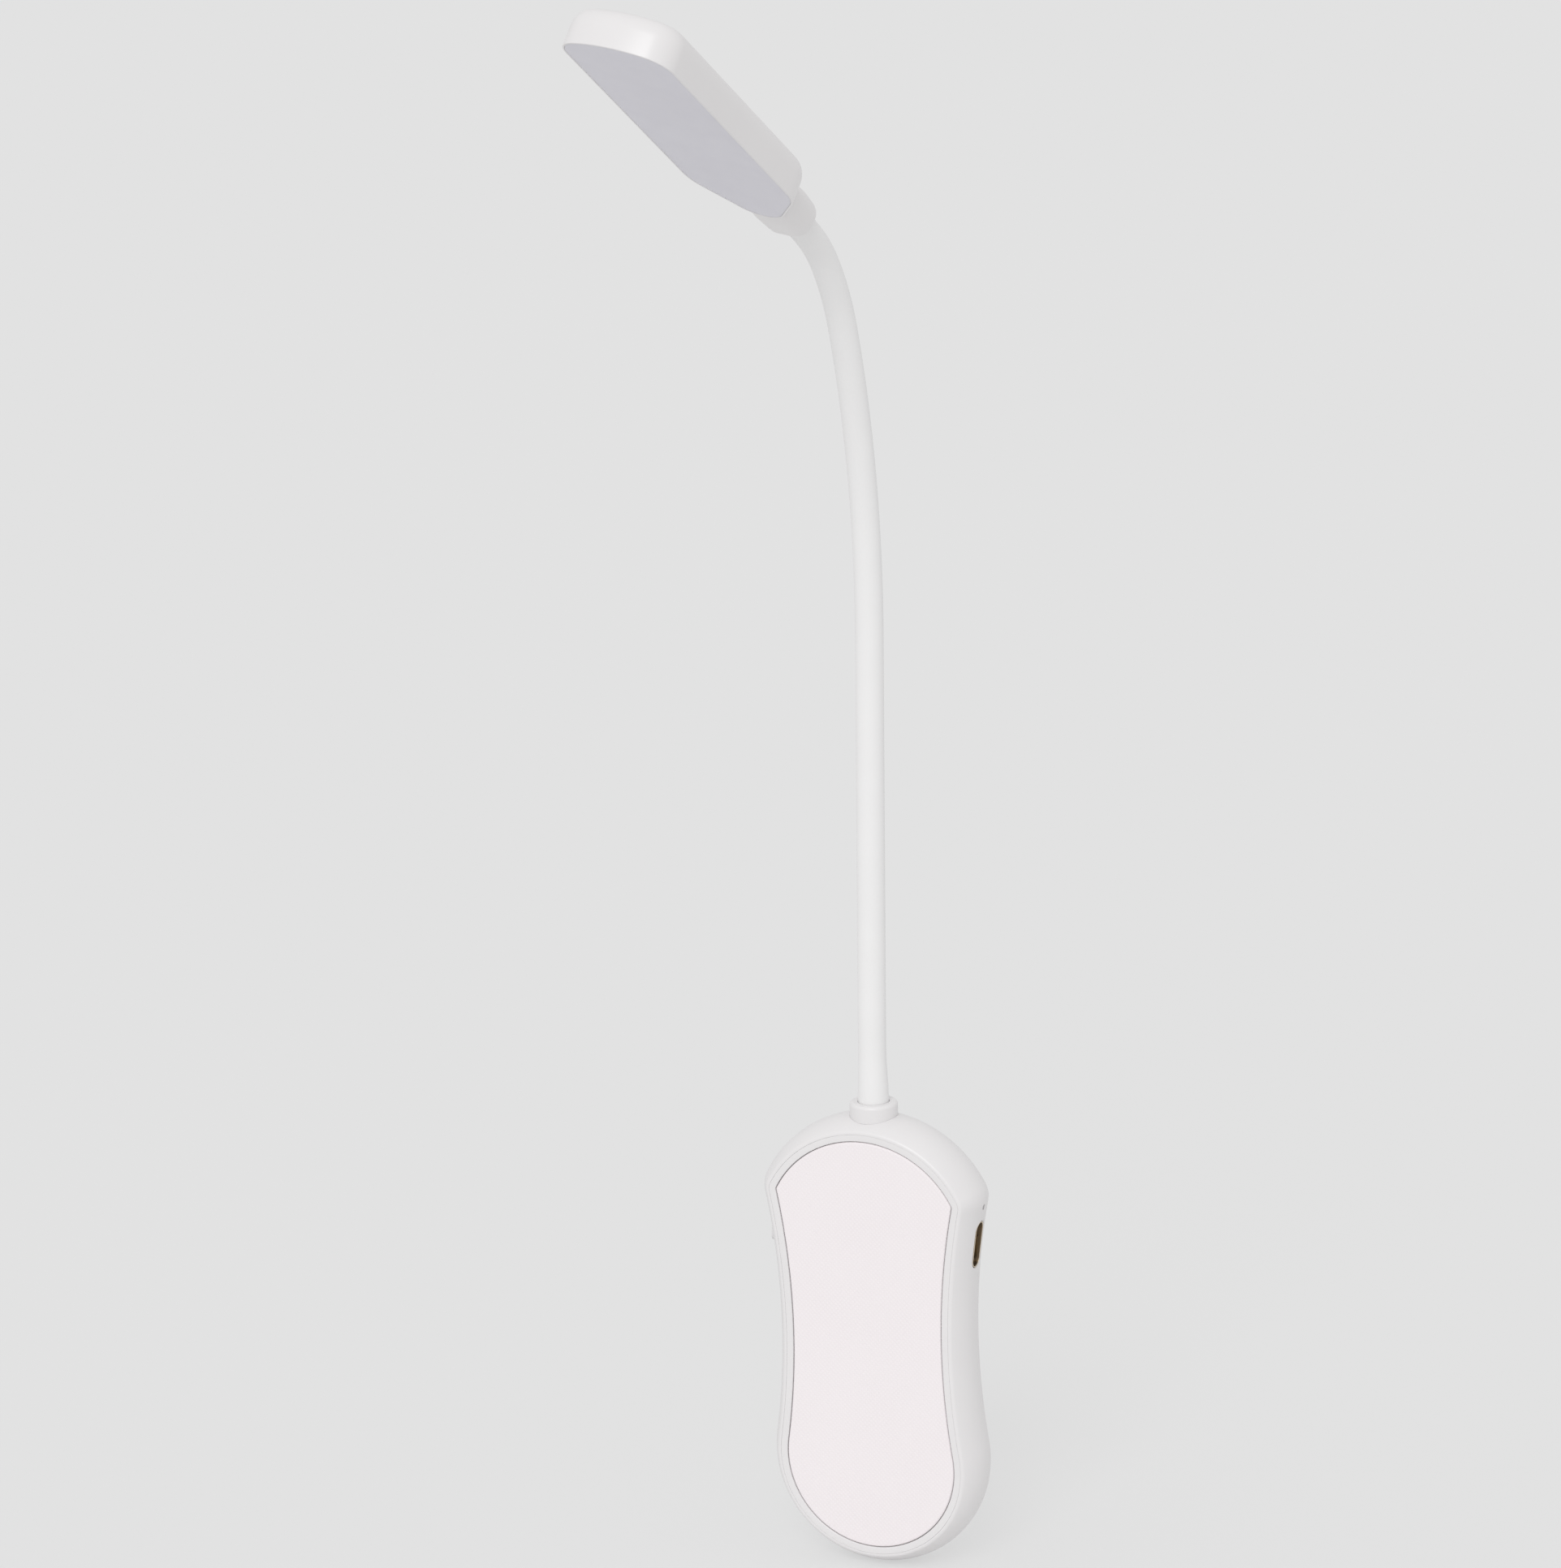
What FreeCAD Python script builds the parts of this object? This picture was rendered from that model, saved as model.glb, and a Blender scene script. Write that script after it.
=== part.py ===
import FreeCAD
import Part
import math
import os

V = FreeCAD.Vector
os.makedirs("parts", exist_ok=True)

# Rechargeable clip lamp on a gooseneck, in millimetres.
# X points right, Y points back, Z points up.
# The origin lies on the front face of the grip panel, at the height of the waist.

# Outline of the grip panel, a vase made of tangent arcs
waist_half = 15.0
side_radius = 140.0
shoulder_height = 27.6
arch_radius = 20.0
foot_radius = 16.9
panel_corner = 0.9

# Housing around the panel
land_width = 1.4
seam_gap = 0.05
rim_width = 0.55
bulge = 4.2
housing_depth = 12.4
cover_thickness = 1.5
ledge_width = 0.45
back_wall = 1.6
side_bands = 4

# Grip panel let into the cover
panel_thickness = 0.8
panel_gap = 0.15

# Screws of the housing, driven from the back
boss_radius = 2.2
boss_upper = (12.5, 29.8)
boss_lower = -37.2
screw_radius = 0.9
screw_head_radius = 1.8
screw_head_height = 1.0
pilot_clearance = 0.02

# Charging socket on the right, power button on the left
side_level = 18.9
socket_length = 8.94
socket_height = 3.26
socket_wall = 0.3
socket_depth = 7.35
socket_recess = 0.35
slot_gap = 0.12
tongue_length = 6.69
tongue_height = 0.7
tongue_depth = 5.6
button_length = 7.0
button_height = 3.2
button_proud = 0.3
button_gap = 0.12
button_travel = 0.3
button_flange = 0.9
button_flange_thickness = 0.8
switch_gap = 0.1

# Control board and what it carries
board_thickness = 1.0
board_left = 12.0
board_right = 15.5
board_bottom = 8.0
board_top = 27.3
rib_place = 7.0
rib_half = 1.5
led_level = 26.3
pipe_radius = 0.5
pipe_gap = 0.05
pipe_recess = 0.5

# Battery cell on its foam
cell_width = 26.0
cell_length = 35.0
cell_thickness = 5.4
cell_bottom = -31.6
cell_round = 1.6
foam_thickness = 0.8
foam_inset = 3.0
lead_half = 1.2
lead_thickness = 1.0

# Neck
neck_radius = 2.6
neck_root_radius = 2.88
core_half = 0.8
swell_level = 3.0
swell_rise = 0.3
joint_gap = 0.7
neck_bore_gap = 0.05
collar_radius = 4.5
collar_height = 3.4
collar_seat = 41.4
anchor_wall = 0.9
anchor_length = 5.6
root_depth = 34.0
first_joint_rise = 9.7
straight_rise = 88.5
lower_arc_length = 60.0
lower_arc_angle = 19.0
upper_arc_length = 30.0
upper_arc_angle = 35.8
joint_spans = (19.5, 19.5, 19.5, 19.5, 20.0, 20.0, 19.0, 12.0, 12.0)
neck_heading = -2.34
neck_lean = 1.28
head_pitch = 56.9
head_roll = -6.85
head_shift = 7.0

# Lamp head, described as if it stood upright on the end of the neck
head_half = 9.65
head_nose_radius = 4.0
head_nose_end = 9.0
head_shoulder_radius = 8.0
head_shoulder_level = 24.0
head_corner_radius = 3.0
head_tip_radius = 14.0
head_tip_end = 80.3
head_rim = 0.9
head_depth = 7.4
head_front = 3.7
head_edge_round = 2.6
head_roof = 1.5
diffuser_thickness = 1.1
diffuser_recess = 0.15
diffuser_gap = 0.12
diffuser_ledge = 1.0
light_board_width = 12.0
light_board_bottom = 20.0
light_board_top = 72.0
light_board_thickness = 1.0
tape_thickness = 0.3
chip_width = 2.8
chip_length = 3.5
chip_height = 0.7
chip_rows = 8
chip_pitch = 6.0
chip_half_span = 3.2
stub_half = 4.6
stub_end = 2.2
stub_root = 12.0
stub_root_half = 6.2
stub_thick = 0.1
stub_round = 3.2

# Clip on the back
pin_radius = 1.0
pin_level = 3.0
pin_standoff = 3.4
pin_gap = 0.03
lug_thickness = 2.2
lug_inner = 4.6
lug_radius = 3.2
clip_side_gap = 0.3
clip_thickness = 2.2
clip_half = 10.5
clip_top = 27.0
clip_top_standoff = 9.2
clip_foot = -37.0
clip_throat = 6.8
clip_corner = 4.0
clip_ear_thickness = 1.8
pin_head = 0.7
jaw_pad_length = 9.0
jaw_pad_thickness = 1.6
jaw_pad_half = 8.0
jaw_gap = 0.3
tooth_depth = 0.5
tooth_pitch = 1.5
spring_wire = 0.4
spring_radius = 2.0
spring_turns = 3
spring_pitch = 1.5
spring_sides = 8
spring_leg = 12.0
spring_bend = 0.8
spring_slot_gap = 0.1
clip_opening = 12.0

mid = housing_depth / 2.0
side_centre = waist_half + side_radius
foot_level = -math.sqrt((side_radius + foot_radius) ** 2 - side_centre ** 2)
shoulder_half = side_centre - math.sqrt(side_radius ** 2 - shoulder_height ** 2)
arch_level = shoulder_height - math.sqrt(arch_radius ** 2 - shoulder_half ** 2)
opening = land_width + seam_gap
crease = opening + rim_width
cavity = opening - ledge_width
cavity_front = cover_thickness + seam_gap
cavity_back = housing_depth - back_wall


def save(shape, name):
    shape.exportStep("parts/" + name + ".step")


def arc(centre, radius, start, end, y):
    def at(angle):
        return V(centre[0] + radius * math.cos(angle), y, centre[1] + radius * math.sin(angle))
    return Part.Arc(at(start), at((start + end) / 2.0), at(end)).toShape()


def join_circles(first, second):
    # centre of the corner arc that touches the arch from inside and the side from outside
    (x1, z1, r1) = first
    (x2, z2, r2) = second
    span = math.hypot(x2 - x1, z2 - z1)
    along = (r1 ** 2 - r2 ** 2 + span ** 2) / (2.0 * span)
    across = math.sqrt(r1 ** 2 - along ** 2)
    ux = (x2 - x1) / span
    uz = (z2 - z1) / span
    return (x1 + along * ux - across * uz, z1 + along * uz + across * ux)


def vase_arcs():
    # six tangent arcs: centre, radius, side on which the material ends, start and end angle
    corner = join_circles((0.0, arch_level, arch_radius - panel_corner),
                          (side_centre, 0.0, side_radius + panel_corner))
    a_arch = math.atan2(corner[1] - arch_level, corner[0])
    a_side = math.atan2(corner[1], corner[0] - side_centre)
    a_foot = math.atan2(foot_level, -side_centre)
    if a_foot < 0:
        a_foot += 2.0 * math.pi
    a_tangent = a_foot - math.pi
    return [((0.0, arch_level), arch_radius, 1, math.pi - a_arch, a_arch),
            (corner, panel_corner, 1, a_arch, a_side - math.pi),
            ((side_centre, 0.0), side_radius, -1, a_side, a_foot),
            ((0.0, foot_level), foot_radius, 1, a_tangent, -math.pi - a_tangent),
            ((-side_centre, 0.0), side_radius, -1, math.pi - a_foot, math.pi - a_side),
            ((-corner[0], corner[1]), panel_corner, 1, 2.0 * math.pi - a_side, math.pi - a_arch)]


def vase(offset, y):
    # the same centres serve every offset, so each outline stays parallel to the panel's edge
    return Part.Wire([arc(c, r + k * offset, a, b, y) for (c, r, k, a, b) in vase_arcs()])


def slab(wire, depth):
    return Part.Face(wire).extrude(V(0, depth, 0))


def box(x0, x1, y0, y1, z0, z1):
    return Part.makeBox(x1 - x0, y1 - y0, z1 - z0, V(x0, y0, z0))


def rod(radius, start, end):
    way = V(*end) - V(*start)
    return Part.makeCylinder(radius, way.Length, V(*start), way)


def pill(length, height, x0, x1, y, z):
    # a slot with round ends, long along Z, running from x0 to x1
    r = height / 2.0
    half = length / 2.0 - r
    edges = [Part.makeLine(V(x0, y - r, z - half), V(x0, y - r, z + half)),
             Part.Arc(V(x0, y - r, z + half), V(x0, y, z + half + r), V(x0, y + r, z + half)).toShape(),
             Part.makeLine(V(x0, y + r, z + half), V(x0, y + r, z - half)),
             Part.Arc(V(x0, y + r, z - half), V(x0, y, z - half - r), V(x0, y - r, z - half)).toShape()]
    return Part.Face(Part.Wire(edges)).extrude(V(x1 - x0, 0, 0))


def wall_at(offset, z):
    # half width of the concave side at a height
    return side_centre - math.sqrt((side_radius - offset) ** 2 - z ** 2)


# Housing: parallel outlines that follow a round side profile, in narrow bands from front to back
profile_rise = bulge - crease
profile_radius = (mid ** 2 + profile_rise ** 2) / (2.0 * profile_rise)


def profile(y):
    return bulge - profile_radius + math.sqrt(profile_radius ** 2 - (y - mid) ** 2)


# each arc of the outline turns the side profile about its own centre, so the bands run on all round
side_faces = []
for (centre, radius, sign, start, end) in vase_arcs():
    def edge_point(y, c=centre, r=radius, k=sign, a=start):
        reach = r + k * profile(y)
        return V(c[0] + reach * math.cos(a), y, c[1] + reach * math.sin(a))
    strip = Part.makePolygon([edge_point(housing_depth * k / side_bands) for k in range(side_bands + 1)])
    side_faces += strip.revolve(V(centre[0], 0, centre[1]), V(0, -1, 0), math.degrees(end - start)).Faces
side_faces.append(Part.Face(vase(crease, 0.0)))
side_faces.append(Part.Face(vase(crease, housing_depth)))
skin = Part.Compound(side_faces)
skin.sewShape()
body = Part.Solid(Part.Shell(skin.Faces))
if body.Volume < 0:
    body.reverse()
body = body.cut(slab(vase(opening, 0.0), cavity_front))
body = body.cut(slab(vase(cavity, cavity_front), cavity_back - cavity_front))

boss_places = [(sx * boss_upper[0], boss_upper[1]) for sx in (-1, 1)]
boss_places.append((0.0, boss_lower))
for (x, z) in boss_places:
    body = body.fuse(rod(boss_radius, (x, cavity_front, z), (x, cavity_back + 0.2, z)))
cradle_half = neck_root_radius + neck_bore_gap + anchor_wall + 1.2
anchor_half = neck_root_radius + neck_bore_gap + anchor_wall
anchor_top = arch_level + arch_radius + cavity - 0.6
cradle = box(-cradle_half, cradle_half, mid + 1.0, cavity_back + 0.2, anchor_top - anchor_length, anchor_top)
body = body.fuse(cradle)
board_back = mid + socket_height / 2.0 + board_thickness
for x in (-rib_place, rib_place):
    body = body.fuse(box(x - rib_half, x + rib_half, board_back, cavity_back + 0.2, board_bottom, board_top))

# Lugs that carry the clip's pin
pin_y = housing_depth + pin_standoff
lug_outer = lug_inner + lug_thickness
for sx in (-1, 1):
    x0 = min(sx * lug_inner, sx * lug_outer)
    lug_profile = Part.Wire([
        Part.makeLine(V(x0, housing_depth - 0.8, pin_level - lug_radius - 2.5),
                      V(x0, pin_y, pin_level - lug_radius)),
        Part.Arc(V(x0, pin_y, pin_level - lug_radius), V(x0, pin_y + lug_radius, pin_level),
                 V(x0, pin_y, pin_level + lug_radius)).toShape(),
        Part.makeLine(V(x0, pin_y, pin_level + lug_radius),
                      V(x0, housing_depth - 0.8, pin_level + lug_radius + 2.5)),
        Part.makeLine(V(x0, housing_depth - 0.8, pin_level + lug_radius + 2.5),
                      V(x0, housing_depth - 0.8, pin_level - lug_radius - 2.5))])
    body = body.fuse(Part.Face(lug_profile).extrude(V(lug_thickness, 0, 0)))
for step in range(4):
    # the tail's slot, as wide as the tail moves between shut and open
    turn = math.radians(clip_opening) * step / 3.0
    (ty, tz) = (spring_radius, -spring_bend)
    y1 = pin_y + ty * math.cos(turn) - tz * math.sin(turn)
    z1 = pin_level + ty * math.sin(turn) + tz * math.cos(turn)
    body = body.cut(rod(spring_wire + spring_slot_gap, (-lug_outer - 1, y1, z1), (-lug_inner + 1, y1, z1)))
body = body.cut(rod(pin_radius + 0.005, (-lug_outer - 1, pin_y, pin_level), (lug_outer + 1, pin_y, pin_level)))

# Holes: screws, neck, socket, button, light pipe
for (x, z) in boss_places:
    body = body.cut(rod(screw_radius + 0.3, (x, cavity_front - 0.5, z), (x, housing_depth + 1, z)))
    body = body.cut(rod(screw_head_radius + 0.2, (x, housing_depth - screw_head_height - 0.1, z),
                        (x, housing_depth + 1, z)))
neck_hole = neck_root_radius + neck_bore_gap
body = body.cut(rod(neck_hole, (0, mid, anchor_top - anchor_length - 1), (0, mid, 60)))
body = body.cut(rod(collar_radius + 0.02, (0, mid, collar_seat), (0, mid, 60)))
pocket = anchor_half + neck_bore_gap
body = body.cut(box(-pocket, pocket, mid - pocket, mid + pocket, anchor_top - anchor_length - 1, anchor_top))
body = body.cut(pill(socket_length + 2 * slot_gap, socket_height + 2 * slot_gap, cavity_back, 30, mid, side_level))
body = body.cut(pill(button_length + 2 * button_gap, button_height + 2 * button_gap, -30, -cavity_back,
                     mid, side_level))
body = body.cut(rod(pipe_radius + pipe_gap, (cavity_back, mid, led_level), (30, mid, led_level)))
save(body, "rear_housing")

# Front cover with the recess for the panel, and screw towers that enter the bosses
cover = slab(vase(land_width, 0.0), cover_thickness)
cover = cover.cut(slab(vase(panel_gap, -1.0), 1.0 + panel_thickness))
for (x, z) in boss_places:
    cover = cover.cut(rod(screw_radius + pilot_clearance, (x, panel_thickness + 0.2, z), (x, cavity_back, z)))
save(cover, "front_cover")

# Grip panel, seated in the recess
panel = slab(vase(0.0, 0.0), panel_thickness)
save(panel, "grip_panel")

# Housing screws: pan heads in the back, tips in the cover
screws = []
for (x, z) in boss_places:
    head = rod(screw_head_radius, (x, housing_depth - screw_head_height, z), (x, housing_depth - 0.1, z))
    head = head.cut(box(x - 1.2, x + 1.2, housing_depth - 0.5, housing_depth, z - 0.25, z + 0.25))
    shank = rod(screw_radius, (x, panel_thickness + 0.3, z), (x, housing_depth - screw_head_height + 0.1, z))
    screws.append(head.fuse(shank).removeSplitter())
save(Part.makeCompound(screws), "housing_screws")

# Battery, its foam and its flat twin lead
foam = box(-cell_width / 2 + foam_inset, cell_width / 2 - foam_inset, cavity_back - foam_thickness, cavity_back,
           cell_bottom + foam_inset, cell_bottom + cell_length - foam_inset)
save(foam, "battery_foam")
cell_back = cavity_back - foam_thickness
cell = box(-cell_width / 2, cell_width / 2, cell_back - cell_thickness, cell_back,
           cell_bottom, cell_bottom + cell_length)
cell = cell.makeChamfer(cell_round / 2.0, [e for e in cell.Edges if abs(e.BoundBox.ZLength - cell_length) < 0.01])
save(cell, "battery_cell")
board_front = board_back - board_thickness
save(box(-lead_half, lead_half, board_front - lead_thickness, board_front,
         cell_bottom + cell_length, board_bottom + 3.0), "battery_leads")

# Control board
board = box(-board_left, board_right, board_front, board_back, board_bottom, board_top)
save(board, "control_board")
chip = box(-5.0, 0.0, board_front - 1.0, board_front, side_level - 2.5, side_level + 2.5)
save(chip, "charge_chip")

# Charging socket: metal shell and its tongue
socket_mouth = wall_at(bulge, side_level) - socket_recess
socket_root = socket_mouth - socket_depth
shell = pill(socket_length, socket_height, socket_root, socket_mouth, mid, side_level)
shell = shell.cut(pill(socket_length - 2 * socket_wall, socket_height - 2 * socket_wall,
                       socket_root + 1.0, socket_mouth + 1.0, mid, side_level))
save(shell, "usb_socket")
tongue = box(socket_root + 1.0, socket_root + 1.0 + tongue_depth, mid - tongue_height / 2, mid + tongue_height / 2,
             side_level - tongue_length / 2, side_level + tongue_length / 2)
save(tongue, "usb_tongue")

# Charge light and its pipe
pipe_start = board_right - 0.3
pipe_end = wall_at(profile(mid), led_level) - pipe_recess
led = box(pipe_start - 1.6, pipe_start, mid - 0.6, board_front, led_level - 0.7, led_level + 0.7)
save(led, "charge_led")
save(rod(pipe_radius, (pipe_start, mid, led_level), (pipe_end, mid, led_level)), "light_pipe")

# Power button, held by its flange, and the switch behind it
button_face = -(wall_at(bulge, side_level) + button_proud)
flange_out = -(wall_at(cavity, side_level - button_length / 2 - button_flange) - 0.25)
stem_end = flange_out + button_flange_thickness + 1.6
slope = math.asin(side_level / (side_radius - bulge))
button = pill(button_length, button_height, button_face - 2.0, flange_out + 0.1, mid, side_level)
face_cut = box(button_face - 6.0, button_face, 0, housing_depth, side_level - 9.0, side_level + 9.0)
face_cut.rotate(V(button_face, mid, side_level), V(0, 1, 0), math.degrees(slope))
button = button.cut(face_cut)
flange_y = button_height / 2.0 + button_flange
flange_z = button_length / 2.0 + button_flange
button = button.fuse(box(flange_out, flange_out + button_flange_thickness, mid - flange_y, mid + flange_y,
                         side_level - flange_z, side_level + flange_z))
button = button.fuse(box(flange_out, stem_end, mid - 0.9, mid + 0.9, side_level - 0.9, side_level + 0.9))
button = button.removeSplitter()
save(button, "power_button")
plunger_tip = stem_end + button_travel + switch_gap
switch = box(plunger_tip + 0.8, plunger_tip + 4.2, mid - 1.6, board_front, side_level - 2.4, side_level + 2.4)
switch = switch.fuse(box(plunger_tip, plunger_tip + 1.0, mid - 0.7, mid + 0.7, side_level - 0.7, side_level + 0.7))
save(switch.removeSplitter(), "push_switch")

# Neck line: points of the joints on a straight, a gentle bend and a tight bend
collar_top = collar_seat + collar_height


def neck_point(s):
    # returns y, z and the lean from vertical after a length s above the collar
    if s <= straight_rise:
        return (mid, collar_top + s, 0.0)
    r1 = lower_arc_length / math.radians(lower_arc_angle)
    a1 = min(s - straight_rise, lower_arc_length) / r1
    y = mid - r1 * (1.0 - math.cos(a1))
    z = collar_top + straight_rise + r1 * math.sin(a1)
    if s <= straight_rise + lower_arc_length:
        return (y, z, a1)
    r2 = upper_arc_length / math.radians(upper_arc_angle)
    a2 = a1 + (s - straight_rise - lower_arc_length) / r2
    y -= r2 * (math.cos(a1) - math.cos(a2))
    z += r2 * (math.sin(a2) - math.sin(a1))
    return (y, z, a2)


def place(shape, y, z, lean):
    shape.rotate(V(0, 0, 0), V(1, 0, 0), math.degrees(lean))
    shape.translate(V(0, y, z))
    return shape


def mitre(shape, y, z, lean, side):
    # cuts a link square to the half angle of its joint and leaves half the joint's gap
    block = box(-8, 8, -8, 8, 0, 16)
    if side < 0:
        block = box(-8, 8, -8, 8, -16, 0)
    block.translate(V(0, 0, -side * joint_gap / 2.0))
    return shape.cut(place(block, y, z, lean))


def aim(shape):
    # turns what the first joint carries: the bend points a little to the left, the neck leans to the right
    shape.rotate(V(0, mid, 0), V(0, 0, 1), neck_heading)
    shape.rotate(V(0, mid, collar_top + first_joint_rise), V(0, 1, 0), neck_lean)
    return shape


stations = [first_joint_rise]
for span in joint_spans:
    stations.append(stations[-1] + span)
points = [neck_point(s) for s in stations]
leans = [0.0]
for i in range(len(joint_spans)):
    leans.append(math.atan2(points[i][0] - points[i + 1][0], points[i + 1][1] - points[i][1]))
leans.append(math.radians(head_pitch))


def core(z0, z1):
    # square bending wire, which keeps the sleeve from turning on it
    return box(-core_half, core_half, -core_half, core_half, z0, z1)


def sleeve(z0, z1):
    return rod(neck_radius, (0, 0, z0), (0, 0, z1)).cut(core(z0 - 1.0, z1 + 1.0))


def link(make, index):
    # straight link between two joints, mitred at both
    (y0, z0) = points[index - 1][:2]
    (y1, z1) = points[index][:2]
    lean = leans[index]
    shape = place(make(-3.0, math.hypot(y1 - y0, z1 - z0) + 3.0), y0, z0, lean)
    shape = mitre(shape, y0, z0, (leans[index - 1] + lean) / 2.0, -1)
    return aim(mitre(shape, y1, z1, (lean + leans[index + 1]) / 2.0, 1))


# Lowest length of sleeve: thicker in the collar, where the clamp block holds it
root_top = collar_top + first_joint_rise
swell_top = collar_top + swell_level
swell = Part.makeCone(neck_root_radius, neck_radius, swell_rise, V(0, mid, swell_top), V(0, 0, 1))
root_sleeve = rod(neck_root_radius, (0, mid, root_depth), (0, mid, swell_top)).fuse(swell)
root_sleeve = root_sleeve.fuse(rod(neck_radius, (0, mid, swell_top + swell_rise), (0, mid, root_top)))
root_core = core(root_depth - 1.0, root_top + 3.0)
root_core.translate(V(0, mid, 0))
root_sleeve = root_sleeve.cut(root_core).removeSplitter()
save(mitre(root_sleeve, points[0][0], points[0][1], leans[1] / 2.0, 1), "neck_root_sleeve")
save(mitre(root_core, points[0][0], points[0][1], leans[1] / 2.0, 1), "neck_root_core")
for i in range(1, len(points)):
    save(link(sleeve, i), "neck_sleeve_%d" % i)
    save(link(core, i), "neck_core_%d" % i)

# Collar, the clamp block inside the housing and the leads that run up to it
ring = rod(collar_radius, (0, mid, collar_seat), (0, mid, collar_top))
save(ring.cut(rod(neck_hole, (0, mid, 0), (0, mid, 60))), "neck_collar")
clamp = box(-anchor_half, anchor_half, mid - anchor_half, mid + anchor_half, anchor_top - anchor_length, anchor_top)
save(clamp.cut(rod(neck_root_radius + 0.01, (0, mid, 0), (0, mid, 60))), "neck_clamp")
save(box(-lead_half, lead_half, board_front - lead_thickness, board_front, board_top - 2.5, root_depth - 1.0),
     "lamp_leads")

# Lamp head, made upright and then pitched forward onto the neck's last joint
tip_y = points[-1][0]
tip_z = points[-1][1]


def tangent_angle(first, second):
    # direction of the outward normal of the line that touches two circles on their right
    (x1, z1, r1) = first
    (x2, z2, r2) = second
    span = math.hypot(x2 - x1, z2 - z1)
    return math.atan2(z2 - z1, x2 - x1) - math.acos((r1 - r2) / span)


def bar(offset, y):
    # outline of the light bar: round nose, swelling shoulders, straight sides and a domed tip
    nose = (0.0, head_nose_end + head_nose_radius, head_nose_radius)
    swell = (head_half - head_shoulder_radius, head_shoulder_level, head_shoulder_radius)
    tip_centre = head_tip_end - head_tip_radius
    corner_x = head_half - head_corner_radius
    corner_z = tip_centre + math.sqrt((head_tip_radius - head_corner_radius) ** 2 - corner_x ** 2)
    a0 = tangent_angle(nose, swell)
    a1 = math.atan2(corner_z - tip_centre, corner_x)

    def on(circle, angle, sign=1):
        r = circle[2] + offset
        return V(sign * (circle[0] + r * math.cos(angle)), y, circle[1] + r * math.sin(angle))

    def bend(circle, start, end, sign):
        return Part.Arc(on(circle, start, sign), on(circle, (start + end) / 2.0, sign), on(circle, end, sign)).toShape()
    corner = (corner_x, corner_z, head_corner_radius)
    tip = (0.0, tip_centre, head_tip_radius)
    edges = [bend(nose, -math.pi - a0, a0, 1),
             Part.makeLine(on(nose, a0), on(swell, a0)),
             bend(swell, a0, 0.0, 1),
             Part.makeLine(on(swell, 0.0), on(corner, 0.0)),
             bend(corner, 0.0, a1, 1),
             bend(tip, a1, math.pi - a1, 1),
             bend(corner, a1, 0.0, -1),
             Part.makeLine(on(corner, 0.0, -1), on(swell, 0.0, -1)),
             bend(swell, 0.0, a0, -1),
             Part.makeLine(on(swell, a0, -1), on(nose, a0, -1))]
    return Part.Wire(edges)


def set_head(shape):
    shape.rotate(V(0, 0, 0), V(0, 0, 1), head_roll)
    shape.translate(V(0, 0, head_shift))
    return aim(place(shape, tip_y, tip_z, math.radians(head_pitch)))


roof = head_depth - head_front
bar_body = slab(bar(head_rim, -head_front), head_depth)
top_edges = [e for e in bar_body.Edges if abs(e.BoundBox.YMin - roof) < 0.01]
bar_body = bar_body.makeChamfer(head_edge_round * 0.6, top_edges)
low = roof - head_edge_round * 0.6
rim_edges = [e for e in bar_body.Edges if abs(e.BoundBox.YMin - roof) < 0.01 or
             (abs(e.BoundBox.YMin - low) < 0.01 and abs(e.BoundBox.YMax - low) < 0.01)]
bar_body = bar_body.makeChamfer(head_edge_round * 0.25, rim_edges)
stub = Part.Face(Part.makePolygon([
    V(-stub_root_half, stub_thick - roof, stub_root), V(-stub_half, stub_thick - roof, stub_end),
    V(stub_half, stub_thick - roof, stub_end), V(stub_root_half, stub_thick - roof, stub_root),
    V(-stub_root_half, stub_thick - roof, stub_root)])).extrude(V(0, 2 * roof - 2 * stub_thick, 0))
long_edges = [e for e in stub.Edges if e.BoundBox.ZLength > 1.0]
stub = stub.makeFillet(stub_round, long_edges)
head_shell = bar_body.fuse(stub)
head_shell = head_shell.cut(slab(bar(0.0, -head_front - 1.0), 1.0 + diffuser_recess + diffuser_thickness))
head_shell = head_shell.cut(slab(bar(-diffuser_ledge, -head_front), head_depth - head_roof))
tip_hole = neck_radius + neck_bore_gap
head_shell = head_shell.cut(rod(tip_hole, (0, 0, stub_end - 1.0), (0, 0, head_nose_end)))
save(set_head(head_shell.removeSplitter()), "head_shell")

lens_back = -head_front + diffuser_recess + diffuser_thickness
lens = slab(bar(-diffuser_gap, lens_back - diffuser_thickness), diffuser_thickness)
save(set_head(lens), "diffuser")
tape_back = roof - head_roof
light_back = tape_back - tape_thickness
tape = box(-light_board_width / 2 + 1.0, light_board_width / 2 - 1.0, light_back, tape_back,
           light_board_bottom + 1.0, light_board_top - 1.0)
save(set_head(tape), "light_board_tape")
light_board = box(-light_board_width / 2, light_board_width / 2, light_back - light_board_thickness, light_back,
                  light_board_bottom, light_board_top)
save(set_head(light_board), "light_board")
light_front = light_back - light_board_thickness
chips = []
middle = (light_board_bottom + light_board_top) / 2.0
for row in range(chip_rows):
    z = middle + (row - (chip_rows - 1) / 2.0) * chip_pitch
    for sx in (-1, 1):
        x = sx * chip_half_span
        chips.append(box(x - chip_width / 2, x + chip_width / 2, light_front - chip_height, light_front,
                         z - chip_length / 2, z + chip_length / 2))
save(set_head(Part.makeCompound(chips)), "light_chips")
tip_end = head_shift + head_nose_end - 0.5
tip_lean = (leans[-2] + leans[-1]) / 2.0
for (make, name) in ((sleeve, "neck_tip_sleeve"), (core, "neck_tip_core")):
    save(aim(mitre(place(make(-3.0, tip_end), tip_y, tip_z, leans[-1]), tip_y, tip_z, tip_lean, -1)), name)

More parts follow.
